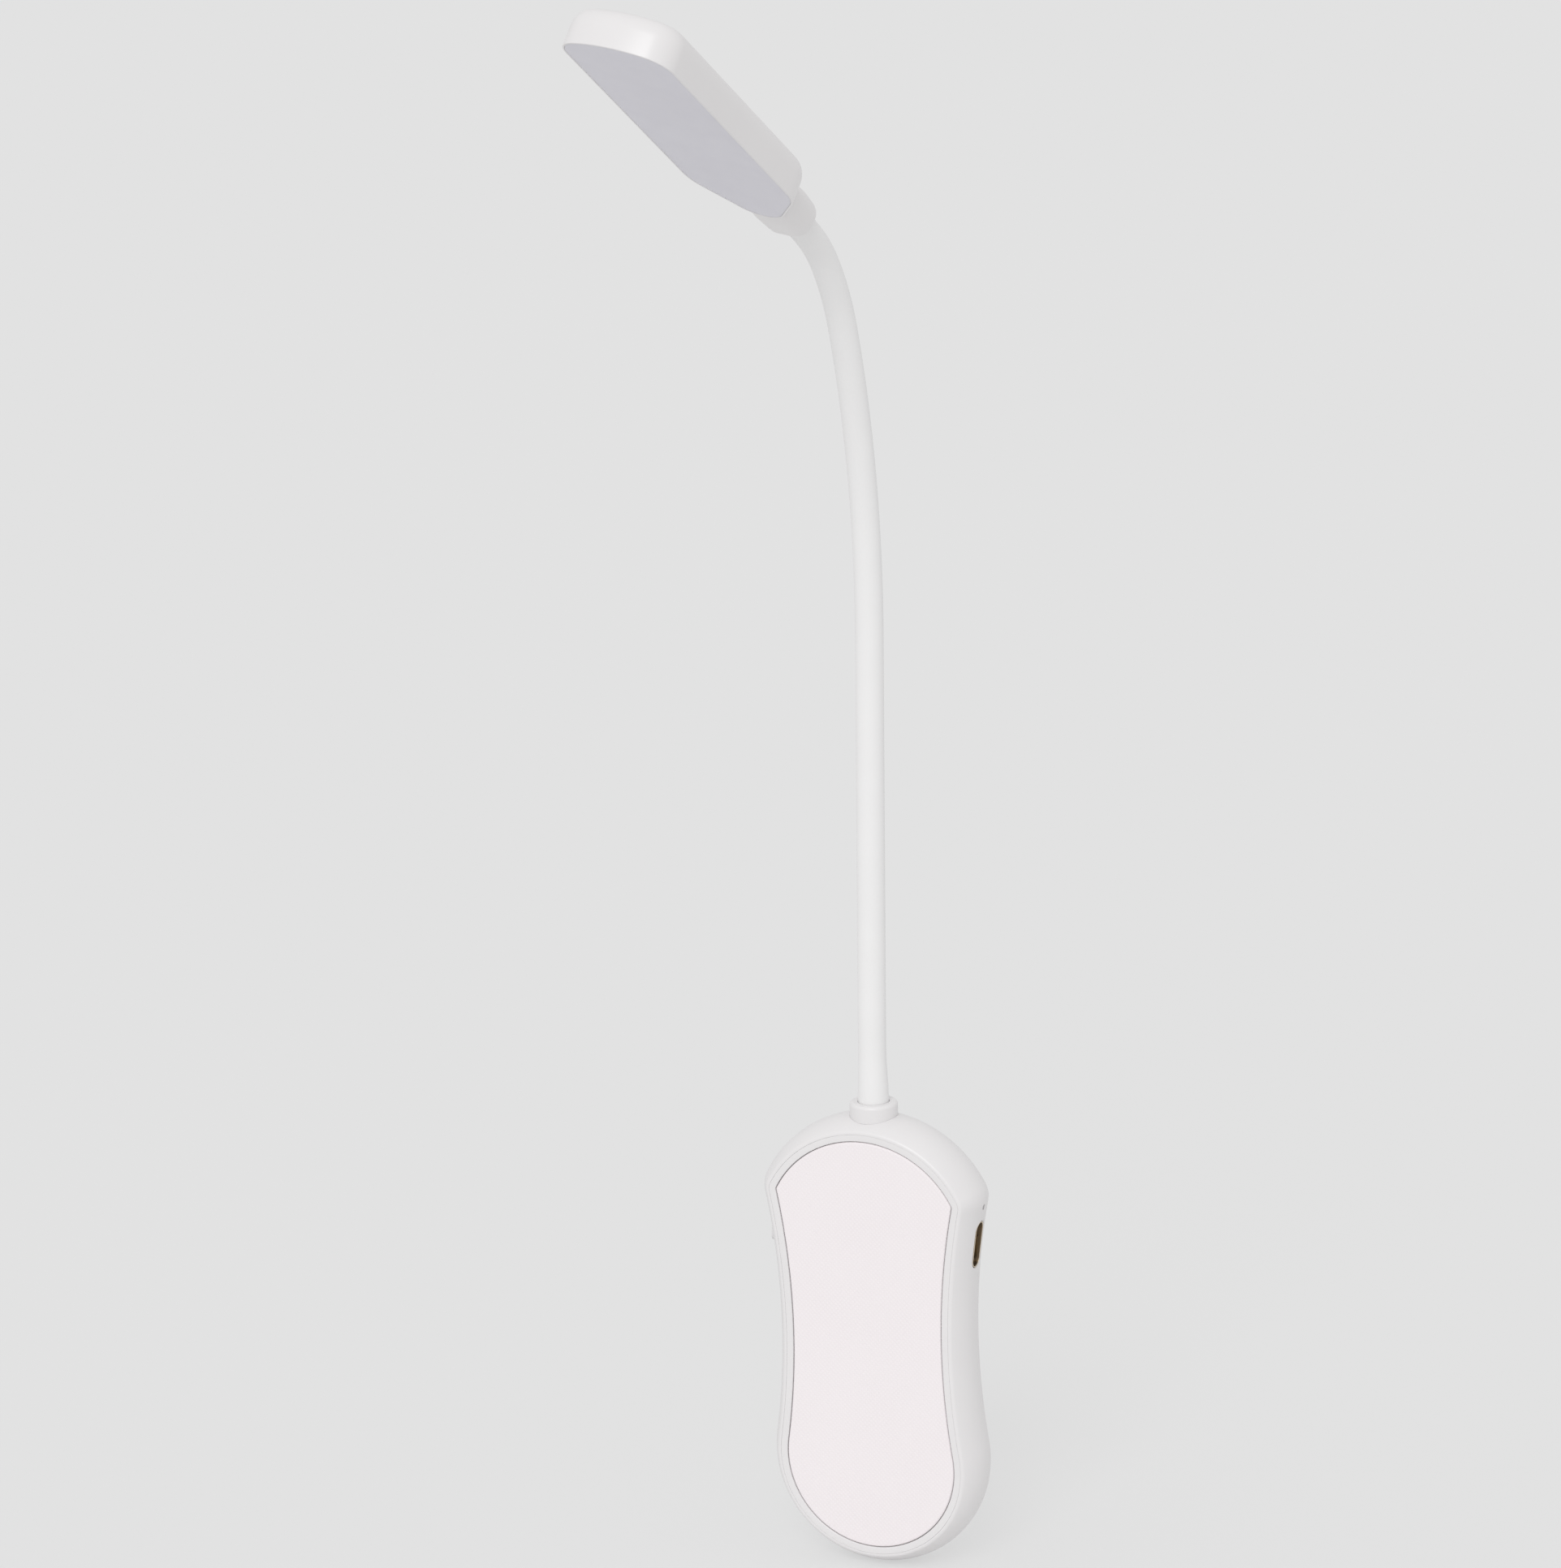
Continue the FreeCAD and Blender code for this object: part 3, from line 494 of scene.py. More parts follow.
def diffuserMaterial():
    # milky sheet: a cool tone, a soft gloss, light let in below the surface and a faint frosting
    material, nodes, links, shader, spot = newMaterial("diffuserMilky")
    cloud = noise(nodes, links, spot, 45.0)
    paint(nodes, links, cloud, ((0.3, (0.676, 0.666, 0.722)), (0.7, (0.694, 0.684, 0.740))),
          shader.inputs["Base Color"])
    worn(nodes, links, spot, shader, 260.0, (0.30, 0.38))
    bump(nodes, links, shader, noise(nodes, links, spot, 6500.0, 2.0), 0.002)
    shader.inputs["Subsurface Weight"].default_value = 0.25
    shader.inputs["Subsurface Radius"].default_value = (1.0, 1.0, 1.0)
    shader.inputs["Subsurface Scale"].default_value = 0.0012
    return material


def boardMaterial():
    # solder mask over tracks: brick edges stand a little proud and lighter
    material, nodes, links, shader, spot = newMaterial("boardGreen")
    tracks = nodes.new("ShaderNodeTexBrick")
    tracks.inputs["Scale"].default_value = 260.0
    tracks.inputs["Mortar Size"].default_value = 0.03
    tracks.inputs["Color1"].default_value = (0.040, 0.230, 0.115, 1)
    tracks.inputs["Color2"].default_value = (0.048, 0.255, 0.130, 1)
    tracks.inputs["Mortar"].default_value = (0.075, 0.340, 0.175, 1)
    flat = stretched(nodes, links, spot, (1, 1, 1), (math.radians(90), 0, 0))
    links.new(flat, tracks.inputs["Vector"])
    links.new(tracks.outputs["Color"], shader.inputs["Base Color"])
    bump(nodes, links, shader, tracks.outputs["Fac"], 0.03)
    worn(nodes, links, spot, shader, 300.0, (0.30, 0.42))
    return material


def leadMaterial():
    # flat twin lead: red on one half, black on the other, parted at x = 0
    material, nodes, links, shader, spot = newMaterial("leadRedBlack")
    apart = nodes.new("ShaderNodeSeparateXYZ")
    links.new(spot, apart.inputs["Vector"])
    side = nodes.new("ShaderNodeMath")
    side.operation = "GREATER_THAN"
    side.inputs[1].default_value = 0.0
    links.new(apart.outputs["X"], side.inputs[0])
    paint(nodes, links, side.outputs["Value"], ((0.0, (0.55, 0.06, 0.05)), (1.0, (0.04, 0.04, 0.045))),
          shader.inputs["Base Color"])
    worn(nodes, links, spot, shader, 500.0, (0.38, 0.50))
    bump(nodes, links, shader, noise(nodes, links, spot, 3000.0), 0.004)
    return material


contacts = {"perMetre": 2000.0, "share": 0.5, "halfRow": 0.0029, "face": 0.00033}


def tongueMaterial():
    # black tongue with gold contacts: stripes every half millimetre on its two broad faces
    material, nodes, links, shader, spot = newMaterial("tongueContacts")
    apart = nodes.new("ShaderNodeSeparateXYZ")
    links.new(spot, apart.inputs["Vector"])

    def step(how, first, second):
        node = nodes.new("ShaderNodeMath")
        node.operation = how
        for socket, value in zip(node.inputs, (first, second)):
            if isinstance(value, (int, float)):
                socket.default_value = value
            else:
                links.new(value, socket)
        return node.outputs["Value"]
    across = step("SUBTRACT", apart.outputs["Z"], housing["sideLevel"] * mm)
    stripe = step("LESS_THAN", step("FRACT", step("MULTIPLY", across, contacts["perMetre"]), 0),
                  contacts["share"])
    inside = step("LESS_THAN", step("ABSOLUTE", across, 0), contacts["halfRow"])
    aside = step("SUBTRACT", apart.outputs["Y"], midDepth * mm)
    broad = step("GREATER_THAN", step("ABSOLUTE", aside, 0), contacts["face"])
    gold = step("MULTIPLY", step("MULTIPLY", stripe, inside), broad)
    paint(nodes, links, gold, ((0.0, (0.03, 0.03, 0.034)), (1.0, (0.83, 0.62, 0.24))),
          shader.inputs["Base Color"])
    paint(nodes, links, gold, ((0.0, 0.0), (1.0, 1.0)), shader.inputs["Metallic"])
    worn(nodes, links, spot, shader, 900.0, (0.34, 0.46))
    bump(nodes, links, shader, gold, 0.02)
    return material


panelRubber = panelMaterial()
diffuserMilky = diffuserMaterial()
boardGreen = boardMaterial()
leadRedBlack = leadMaterial()
tongueContacts = tongueMaterial()
print("materials made")


def dress(thing, material, body, slotName, *nodes):
    # gives a piece its material and its body, and hides the nodes that it stands for
    thing.data.materials.clear()
    thing.data.materials.append(material)
    if body:
        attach(thing, body)
    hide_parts(*nodes)
    return thing


# Housing

lug = {"pinY": 15.8, "pinZ": 3.0, "inner": 4.6, "thickness": 2.2, "radius": 3.2, "spread": 2.5,
       "round": 0.35,
       "sink": 0.8, "bore": 1.0, "slotTurn": 12, "slotHalf": 0.5, "slotRun": (-9.0, -3.0)}
coil = {"wire": 0.4, "radius": 2.0, "turns": 3, "pitch": 1.5, "leg": 12.0, "bend": 0.8, "tailEnd": -6.4,
        "around": 14}


def housingBody():
    h = housing
    depths = h["depth"] * (0.5 - 0.5 * np.cos(np.linspace(0.42, np.pi - 0.42, 22)))
    arc = [(float(sideProfile(y)), float(y), 0.0) for y in depths]
    corners = ([(0.6, h["cavityBack"], 0), (h["cavity"], h["cavityBack"], 0),
                (h["cavity"], h["ledgeDepth"], 0),
                (h["opening"], h["ledgeDepth"], 0), (h["opening"], 0.0, h["openRound"]),
                (h["crease"], 0.0, h["rimRound"])]
               + arc + [(h["crease"], h["depth"], h["backRound"]), (h["crease"] - 1.6, h["depth"], 0)])
    profile = roundedLine(corners)
    surface = ringSurface(offsetRings(vaseLine, profile, alongY), (0, h["cavityBack"], 0),
                          (0, h["depth"], 0))
    body = makeMesh("housingShell", surface)
    for bore in ("collarSeat", "neckBore"):
        radius, start, end = h[bore]
        carve(body, makeMesh("tool",
                             turned(np.array([(radius, start), (radius, end)]), "z", (0, midDepth, 0))))
    for outline, side in ((h["socketHole"], 1), (h["buttonHole"], -1)):
        slot = sideSlot(pillLine(*outline), h["sideLevel"], side, h["holeLip"], h["slotReach"])
        carve(body, makeMesh("tool", slot))
    hole = sideSlot(pillLine(*h["pipeHole"], 12), h["pipeLevel"], 1, h["pipeLip"], h["slotReach"])
    carve(body, makeMesh("tool", hole))
    w = h["screwHole"]
    floor = h["depth"] - w["floor"]
    well = np.array([(w["bore"], w["start"]), (w["bore"], floor), (w["well"], floor),
                     (w["well"], h["depth"] - w["flare"]), (w["mouth"], h["depth"] + w["flare"]),
                     (w["mouth"], w["end"])])
    carve(body, makeMesh("tool", join(*[turned(well, "y", (x, 0, z), 48) for x, z in h["screws"]])))
    return body


def hingeLug(side):
    # ear that carries the pin: flanks touch a round end, carried across its thickness, with the pin's bore
    g = lug
    base = housing["depth"] - g["sink"]
    angle = np.linspace(-np.pi / 2, np.pi / 2, 33)
    arc = np.stack([g["pinY"] + g["radius"] * np.cos(angle), g["pinZ"] + g["radius"] * np.sin(angle)], 1)
    root = g["radius"] + g["spread"]
    outline = np.vstack([[base, g["pinZ"] - root], arc, [base, g["pinZ"] + root]])
    x0 = side * g["inner"]
    x1 = side * (g["inner"] + g["thickness"])
    rings = np.stack([np.column_stack([np.full(len(outline), x), outline]) for x in (x0, x1)])
    ear = makeMesh("lug",
                   ringSurface(rings, (x0, g["pinY"] - 1, g["pinZ"]), (x1, g["pinY"] - 1, g["pinZ"])))
    mend(ear.data, flat=0.5)
    soften(ear, g["round"], 3, 40.0)
    reach = abs(x1) + 2
    bore = np.array([(g["bore"], -reach), (g["bore"], reach)])
    carve(ear, makeMesh("tool", turned(bore, "x", (0, g["pinY"], g["pinZ"]), 48)))
    if side < 0:
        # the spring's tail swings through a curved slot
        swing = np.radians(np.linspace(0, g["slotTurn"], 5))
        y = g["pinY"] + coil["radius"] * np.cos(swing) + coil["bend"] * np.sin(swing)
        z = g["pinZ"] + coil["radius"] * np.sin(swing) - coil["bend"] * np.cos(swing)
        drill = np.array([(g["slotHalf"], end) for end in g["slotRun"]])
        for a, b in zip(y, z):
            carve(ear, makeMesh("tool", turned(drill, "x", (0, a, b), 32)))
    return ear


shell = housingBody()
for side in (-1, 1):
    carve(shell, hingeLug(side), "UNION")
dress(shell, whitePlastic, "base", "housing_white", "rear_housing")
print("housing made:", len(shell.data.polygons), "faces")

cover = {"edge": 1.43, "recess": 0.15, "thickness": 1.5, "floor": 0.8, "innerEdge": 0.2, "outerEdge": 0.05,
         "pilot": ((0.92, 1.0), (0.92, 3.0))}


def frontCover():
    # plate as wide as the land, hollowed for the panel: its profile runs from the recess to the back
    c = cover
    profile = roundedLine([(-0.7, c["floor"], 0), (c["recess"], c["floor"], 0),
                           (c["recess"], 0.0, c["innerEdge"]),
                           (c["edge"], 0.0, c["outerEdge"]), (c["edge"], c["thickness"], 0),
                           (0.4, c["thickness"], 0)])
    surface = ringSurface(offsetRings(vaseLine, profile, alongY), (0, c["floor"], 0),
                          (0, c["thickness"], 0))
    plate = makeMesh("coverRing", surface)
    pilots = [turned(np.array(c["pilot"]), "y", (x, 0, z), 32) for x, z in housing["screws"]]
    carve(plate, makeMesh("tool", join(*pilots)))
    return plate


dress(frontCover(), whitePlastic, "base", "housing_white", "front_cover")

grip = {"thickness": 0.8, "softEdge": 0.36}


def gripPanel():
    # slab inside the recess with a soft front edge
    profile = roundedLine([(-0.75, grip["thickness"], 0), (0.0, grip["thickness"], 0),
                           (0.0, 0.0, grip["softEdge"]),
                           (-0.6, 0.0, 0), (-0.75, 0.0, 0)], 8)
    return makeMesh("gripPanel",
                    ringSurface(offsetRings(vaseLine, profile, alongY), (0, grip["thickness"], 0),
                                (0, 0, 0)))


dress(gripPanel(), panelRubber, "base", "panel_rubber", "grip_panel")

collar = {"radius": 4.5, "low": 41.4, "top": 44.8, "bore": 2.93, "outerRound": 0.7, "innerRound": 0.22}


def neckCollar():
    # ring with a well rounded shoulder; its bore is a closed tube wall
    c = collar
    profile = roundedLine([(c["bore"], c["low"] + 1.6, 0), (c["bore"], c["top"], c["innerRound"]),
                           (c["radius"], c["top"], c["outerRound"]), (c["radius"], c["low"], 0.15),
                           (c["bore"], c["low"], 0),
                           (c["bore"], c["low"] + 0.8, 0)], 8)
    angle = np.linspace(0, 2 * np.pi, 96, endpoint=False)
    rings = np.stack([profile[:, :1] * np.cos(angle), midDepth + profile[:, :1] * np.sin(angle),
                      np.broadcast_to(profile[:, 1:], (len(profile), 96))], -1)
    count = len(rings)
    i, j = np.meshgrid(np.arange(count), np.arange(96), indexing="ij")
    here, beside = i * 96 + j, i * 96 + (j + 1) % 96
    above = (beside + 96) % (count * 96)
    quads = np.stack([here, beside, above, (here + 96) % (count * 96)], -1).reshape(-1, 4)
    return makeMesh("collarRing", (rings.reshape(-1, 3), quads.tolist()))


dress(neckCollar(), whitePlastic, "base", "housing_white", "neck_collar")
print("cover, panel and collar made")


# Neck: one smooth sleeve in ten bending lengths, each from the middle of one link to the middle of the next

neck = {
    "radius": 2.6, "rootRadius": 2.88, "taper": 9.5,
    "collarTop": 44.8, "root": 34.0, "firstJoint": 9.7, "straight": 88.5,
    "lowerArc": (60.0, 19.0), "upperArc": (30.0, 35.8),
    "spans": (19.5, 19.5, 19.5, 19.5, 20.0, 20.0, 19.0, 12.0, 12.0),
    "heading": -2.34, "lean": 1.28, "headPitch": 56.9, "headReach": 15.5, "around": 48, "step": 0.8,
    "leanEase": 4, "probe": 0.05, "joinReach": 8.0, "tipStart": 8.6, "rootBlend": 6.0,
}
jointLevel = neck["collarTop"] + neck["firstJoint"]


def turn(points, axis, degrees, centre=(0, 0, 0)):
    # points turned about an axis through a centre
    matrix = np.array(Matrix.Rotation(math.radians(degrees), 3, axis))
    return (np.asarray(points, float) - centre) @ matrix.T + centre


def aim(points):
    # heading about the upright axis, then the lean to the right from the first joint
    return turn(turn(points, "Z", neck["heading"], (0, midDepth, 0)), "Y", neck["lean"],
                (0, midDepth, jointLevel))


def neckPlane(s):
    # y, z and lean at a length above the collar: a straight, a gentle arc and a tighter one
    radius1 = neck["lowerArc"][0] / math.radians(neck["lowerArc"][1])
    radius2 = neck["upperArc"][0] / math.radians(neck["upperArc"][1])
    a1 = np.clip(s - neck["straight"], 0, neck["lowerArc"][0]) / radius1
    a2 = a1 + np.clip(s - neck["straight"] - neck["lowerArc"][0], 0, None) / radius2
    y = midDepth - radius1 * (1 - np.cos(a1)) - radius2 * (np.cos(a1) - np.cos(a2))
    rise1 = radius1 * np.sin(a1)
    rise2 = radius2 * (np.sin(a2) - np.sin(a1))
    z = neck["collarTop"] + np.minimum(s, neck["straight"]) + rise1 + rise2
    return y, z, a2


def neckCurve(s):
    # centre line in space; the small lean sets in over four millimetres on each side of the first joint
    y, z, bend = neckPlane(s)
    flat = np.stack([np.zeros_like(y), y, z], -1)
    led = aim(flat)
    past = z - jointLevel
    ease = neck["leanEase"]
    reach = np.where(past > ease, past, np.where(past < -ease, 0, (past + ease) ** 2 / (4 * ease)))
    below = np.stack([math.sin(math.radians(neck["lean"])) * reach, y, z], -1)
    return np.where((past > ease)[:, None], led, below)


stations = neck["firstJoint"] + np.concatenate([[0], np.cumsum(neck["spans"])])
headJoint = np.array([0.0, *[float(v[0]) for v in neckPlane(stations[-1:])[:2]]])


def placeHead(points):
    # head made upright, rolled, raised, pitched forward onto the last joint and aimed with the neck
    points = turn(points, "Z", head["roll"]) + np.array([0, 0, head["lift"]])
    points = turn(points, "X", neck["headPitch"]) + headJoint
    return aim(points)


def neckPieces():
    middles = (stations[1:] + stations[:-1]) / 2
    probe = neck["probe"]
    # the last stretch is a cubic from the middle of the last link to the head's own axis
    start = neckCurve(middles[-1:])[0]
    before = neckCurve(middles[-1:] - probe)[0]
    startWay = (start - before) / np.linalg.norm(start - before)
    axisWay = aim(turn([[0, 0, 1.0]], "X", neck["headPitch"]) + headJoint)[0] - aim([headJoint])[0]
    joint = aim([headJoint])[0]
    end = joint + axisWay * neck["joinReach"]
    pull = np.linalg.norm(end - start)
    t = np.linspace(0, 1, 20)[:, None]
    cubic = ((2 * t ** 3 - 3 * t ** 2 + 1) * start + (t ** 3 - 2 * t ** 2 + t) * startWay * pull
             + (3 * t ** 2 - 2 * t ** 3) * end + (t ** 3 - t ** 2) * axisWay * pull)
    tip = joint + axisWay * np.linspace(neck["tipStart"], neck["headReach"], 10)[:, None]
    # rings of the bent line, cut at the middles of the links
    marks = [neck["root"] - neck["collarTop"], *middles]
    pieces = []
    for k in range(len(marks)):
        if k < len(marks) - 1:
            count = max(12, int((marks[k + 1] - marks[k]) / neck["step"]))
            s = np.linspace(marks[k], marks[k + 1], count)
            line = neckCurve(s)
            swell = neck["rootRadius"] - neck["radius"]
            radius = neck["radius"] + swell * (1 - smoothStep(s / neck["taper"]))
            ways = neckCurve(s + probe) - neckCurve(s - probe)
        else:
            line = np.vstack([cubic, tip])
            radius = np.full(len(line), neck["radius"])
            ways = np.gradient(line, axis=0)
            ways[0] = startWay
        pieces.append((line, ways / np.linalg.norm(ways, axis=1)[:, None], radius))
    return pieces, start, end


def smoothStep(t):
    t = np.clip(t, 0, 1)
    return t * t * (3 - 2 * t)


def tubeRings(line, ways, radius, sideways, around):
    # circles square to the line: the first direction is the side vector made square to the way
    first = sideways - np.sum(ways * sideways, 1)[:, None] * ways
    first /= np.linalg.norm(first, axis=1)[:, None]
    second = np.cross(ways, first)
    angle = np.linspace(0, 2 * np.pi, around, endpoint=False)
    return (line[:, None] + radius[:, None, None] * (first[:, None] * np.cos(angle)[None, :, None]
                                                     + second[:, None] * np.sin(angle)[None, :, None]))


bendAxis = aim([[1.0, 0, 0], [0, 0, 0]])
bendAxis = bendAxis[0] - bendAxis[1]
neckLengths, lastStart, headEnd = neckPieces()
sleeves = ["neck_root_sleeve"] + ["neck_sleeve_%d" % k for k in range(1, 10)] + ["neck_tip_sleeve"]
for k, (line, ways, radius) in enumerate(neckLengths):
    rings = tubeRings(line, ways, radius, bendAxis, neck["around"])
    piece = makeMesh("neckSleeve%02d" % (k + 1), ringSurface(rings, line[0], line[-1]), 60.0)
    dress(piece, neckSilicone, None, "neck_silicone", sleeves[k], sleeves[k + 1])
    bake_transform(piece)
print("neck made in", len(neckLengths), "lengths")


# Light bar

head = {
    "half": 10.35, "noseRadius": 5.0, "noseEnd": 11.2, "shoulderRadius": 9.5, "shoulderLevel": 25.4,
    "cornerRadius": 5.4, "tipRadius": 20.0, "tipEnd": 80.8, "rim": 0.35, "front": -3.7, "back": 3.7,
    "edgeRound": (2.6, 3.4), "rimRound": 0.14, "roof": 1.5, "ledge": 1.0,
    "lensThickness": 1.1, "lensRecess": 0.03, "lensGap": 0.02, "lensRound": 0.05,
    "stub": ((2.2, 4.6, 3.6, 3.2), (8.0, 5.3, 3.6, 3.2), (11.0, 5.5, 3.3, 3.0), (13.5, 5.2, 2.5, 2.2),
             (16.5, 3.8, 1.4, 1.2)),
    "stubEndRound": 0.9, "bore": 2.66, "boreDepth": 6.3, "boreFlare": 0.14, "roll": -6.85, "lift": 7.0,
}


def tangentAngle(first, second):
    # direction of the outward normal of the line that touches two circles on their right
    (x1, z1, r1), (x2, z2, r2) = first, second
    span = math.hypot(x2 - x1, z2 - z1)
    return math.atan2(z2 - z1, x2 - x1) - math.acos((r1 - r2) / span)


def barOutline():
    # right half from nose to tip as arcs and touching lines, then mirrored; points (x, z) with normals
    g = head
    nose = (0.0, g["noseEnd"] + g["noseRadius"], g["noseRadius"])
    swell = (g["half"] - g["shoulderRadius"], g["shoulderLevel"], g["shoulderRadius"])
    tipZ = g["tipEnd"] - g["tipRadius"]
    cornerX = g["half"] - g["cornerRadius"]
    cornerZ = tipZ + math.sqrt((g["tipRadius"] - g["cornerRadius"]) ** 2 - cornerX ** 2)
    corner = (cornerX, cornerZ, g["cornerRadius"])
    tip = (0.0, tipZ, g["tipRadius"])
    a0 = tangentAngle(nose, swell)
    a1 = math.atan2(cornerZ - tipZ, cornerX)
    pieces = [(nose, -math.pi / 2, a0, 22), (swell, a0, 0.0, 22), (corner, 0.0, a1, 18),
              (tip, a1, math.pi / 2, 24)]
    points, normals = [], []
    for circle, start, end, count in pieces:
        angle = np.linspace(start, end, count)
        way = np.stack([np.cos(angle), np.sin(angle)], 1)
        run = np.array(circle[:2]) + circle[2] * way
        if points:
            # a few stations on the straight line up to this arc
            gap = np.linspace(0, 1, 14)[1:-1, None]
            points.append(points[-1][-1] * (1 - gap) + run[0] * gap)
            normals.append(np.repeat(way[:1], len(gap), 0))
        points.append(run)
        normals.append(way)
    points, normals = np.vstack(points), np.vstack(normals)
    flip = np.array([-1.0, 1.0])
    points = np.vstack([points, (points * flip)[-2:0:-1]])
    normals = np.vstack([normals, (normals * flip)[-2:0:-1]])
    return points, normals


barLine = barOutline()
barMiddle = (head["noseEnd"] + head["tipEnd"]) / 2


def slabTool(offset, low, high, flare=0.0):
    # prism on the bar's outline, widened by a flare at its low end
    profile = np.array([(offset + flare, low - 2.0), (offset + flare, low),
                        (offset, low + flare * 1.4 + 1e-3), (offset, high)])
    rings = offsetRings(barLine, profile, alongY)
    return makeMesh("tool", ringSurface(rings, (0, low - 2.0, barMiddle), (0, high, barMiddle)))


def roundedSection(halfX, halfY, corner, count=24):
    # rounded rectangle about the axis: four quarter circles joined by straight runs
    quarter = np.linspace(0, np.pi / 2, count // 2)
    parts = []
    for n, (sx, sy) in enumerate(((1, 1), (-1, 1), (-1, -1), (1, -1))):
        angle = quarter + n * np.pi / 2
        parts.append(np.stack([sx * (halfX - corner) + corner * np.cos(angle),
                               sy * (halfY - corner) + corner * np.sin(angle)], 1))
    return np.vstack(parts)


def stubSurface():
    # sections along the axis: the neck's bore, the rounded end and the widening root inside the bar
    g = head
    z0, low, thick, edge = g["stub"][0]
    r = g["stubEndRound"]
    bore, flare = g["bore"], g["boreFlare"]
    sections = [(bore,) * 3 + (z0 + g["boreDepth"],), (bore,) * 3 + (z0 + flare,),
                (bore + flare,) * 3 + (z0,)]
    for t in np.linspace(0.0, np.pi / 2, 8):
        inset = r * (1 - math.sin(t))
        sections.append((low - inset, thick - inset, edge - inset, z0 + r * (1 - math.cos(t))))
    # beyond the end the sections follow the stations of the stub, eased from one to the next
    knots = np.array(g["stub"])
    for z in np.linspace(z0 + r + 0.5, knots[-1, 0], 26):
        sections.append((*[float(np.interp(z, knots[:, 0], knots[:, c])) for c in (1, 2, 3)], z))
    rings = []
    for halfX, halfY, corner, z in sections:
        flat = roundedSection(halfX, halfY, corner)
        rings.append(np.column_stack([flat, np.full(len(flat), z)]))
    return ringSurface(np.stack(rings), (0, 0, z0 + g["boreDepth"]), (0, 0, knots[-1, 0]))


def headShell():
    g = head
    wide, tall = g["edgeRound"]
    turnAngle = np.linspace(0, np.pi / 2, 16)
    top = [(g["rim"] - wide + wide * math.cos(a), g["back"] - tall + tall * math.sin(a), 0.0)
           for a in turnAngle]
    profile = roundedLine([(-1.0, g["front"], 0), (g["rim"], g["front"], g["rimRound"])] + top
                          + [(g["rim"] - wide - 0.3, g["back"], 0)])
    bar = makeMesh("headShell", ringSurface(offsetRings(barLine, profile, alongY),
                                            (0, g["front"], barMiddle), (0, g["back"], barMiddle)))
    carve(bar, makeMesh("tool", stubSurface()), "UNION")
    lensBack = g["front"] + g["lensRecess"] + g["lensThickness"]
    carve(bar, slabTool(0.0, g["front"], lensBack, 0.02))
    carve(bar, slabTool(-g["ledge"], lensBack - 0.3, g["back"] - g["roof"]))
    points = np.empty(len(bar.data.vertices) * 3)
    bar.data.vertices.foreach_get("co", points)
    placed = placeHead(points.reshape(-1, 3) / mm) * mm
    bar.data.vertices.foreach_set("co", placed.ravel())
    smoothShade(bar.data)
    return bar


dress(headShell(), whitePlastic, "head", "housing_white", "head_shell")


def diffuser():
    # milky sheet with a soft edge, a little inside the recess
    g = head
    front = g["front"] + g["lensRecess"]
    offset = -g["lensGap"]
    profile = roundedLine([(-2.0, front, 0), (-0.8, front, 0), (offset, front, g["lensRound"]),
                           (offset, front + g["lensThickness"], 0),
                           (-1.5, front + g["lensThickness"], 0)])
    points, faces = ringSurface(offsetRings(barLine, profile, alongY), (0, front, barMiddle),
                                (0, front + g["lensThickness"], barMiddle))
    return makeMesh("diffuserSheet", (placeHead(points), faces))


dress(diffuser(), diffuserMilky, "head", "diffuser_milky", "diffuser")
print("light bar made")


# Socket, tongue, button, light pipe and screws

socket = {"length": 8.94, "height": 3.26, "wall": 0.18, "depth": 7.35, "recess": 0.16, "lip": 0.08}
socketMouth = float(wallAt(midDepth, housing["sideLevel"])) - socket["recess"]


def chargeSocket():
    # drawn shell: the profile runs from the bottom of the well over the rolled lip to the closed back;
    # towards its mouth each point is moved in by as much as the side wall falls away at its height
    s = socket
    root = socketMouth - s["depth"]
    profile = roundedLine([(-0.8, root + 1.0, 0), (-s["wall"], root + 1.0, 0),
                           (-s["wall"], socketMouth, s["lip"]),
                           (0.0, socketMouth, s["lip"]), (0.0, root, 0), (-0.5, root, 0)])

    def place(y, x, z):
        level = z + housing["sideLevel"]
        fall = wallAt(midDepth, level) - wallAt(midDepth, housing["sideLevel"])
        return np.stack([x + fall * (x - root) / s["depth"], y + midDepth, level], -1)
    rings = offsetRings(pillLine(s["length"], s["height"], 24), profile, place)
    return makeMesh("chargeSocket", ringSurface(rings, (root + 1.0, midDepth, housing["sideLevel"]),
                                                (root, midDepth, housing["sideLevel"])))


dress(chargeSocket(), socketSteel, "base", "steel", "usb_socket")
tongue = soften(copyOf("usb_tongue", "socketTongue"), 0.12, 2)
dress(tongue, tongueContacts, "base", "chip_black", "usb_tongue")
button = soften(copyOf("power_button", "pressButton"), 0.3, 4)
dress(button, whitePlastic, "button", "housing_white", "power_button")

pipe = {"radius": 0.5, "start": 15.2, "dome": 0.22, "recess": 0.5}
pipeEnd = float(wallAt(midDepth, housing["pipeLevel"])) - pipe["recess"]
pipeProfile = np.vstack([[(pipe["radius"], pipe["start"])],
                         [(pipe["radius"] * math.cos(a), pipeEnd - pipe["dome"] * (1 - math.sin(a)))
                          for a in np.linspace(0, 1.45, 8)]])
pipePiece = makeMesh("chargeLens", turned(pipeProfile, "x", (0, midDepth, housing["pipeLevel"]), 40))
dress(pipePiece, pipeClear, "base", "light_pipe", "light_pipe")

screw = {"headRadius": 1.8, "headLow": 11.4, "headTop": 12.3, "shank": 0.9, "tip": 1.1, "crown": 0.28,
         "slot": (2.4, 0.5, 0.45)}


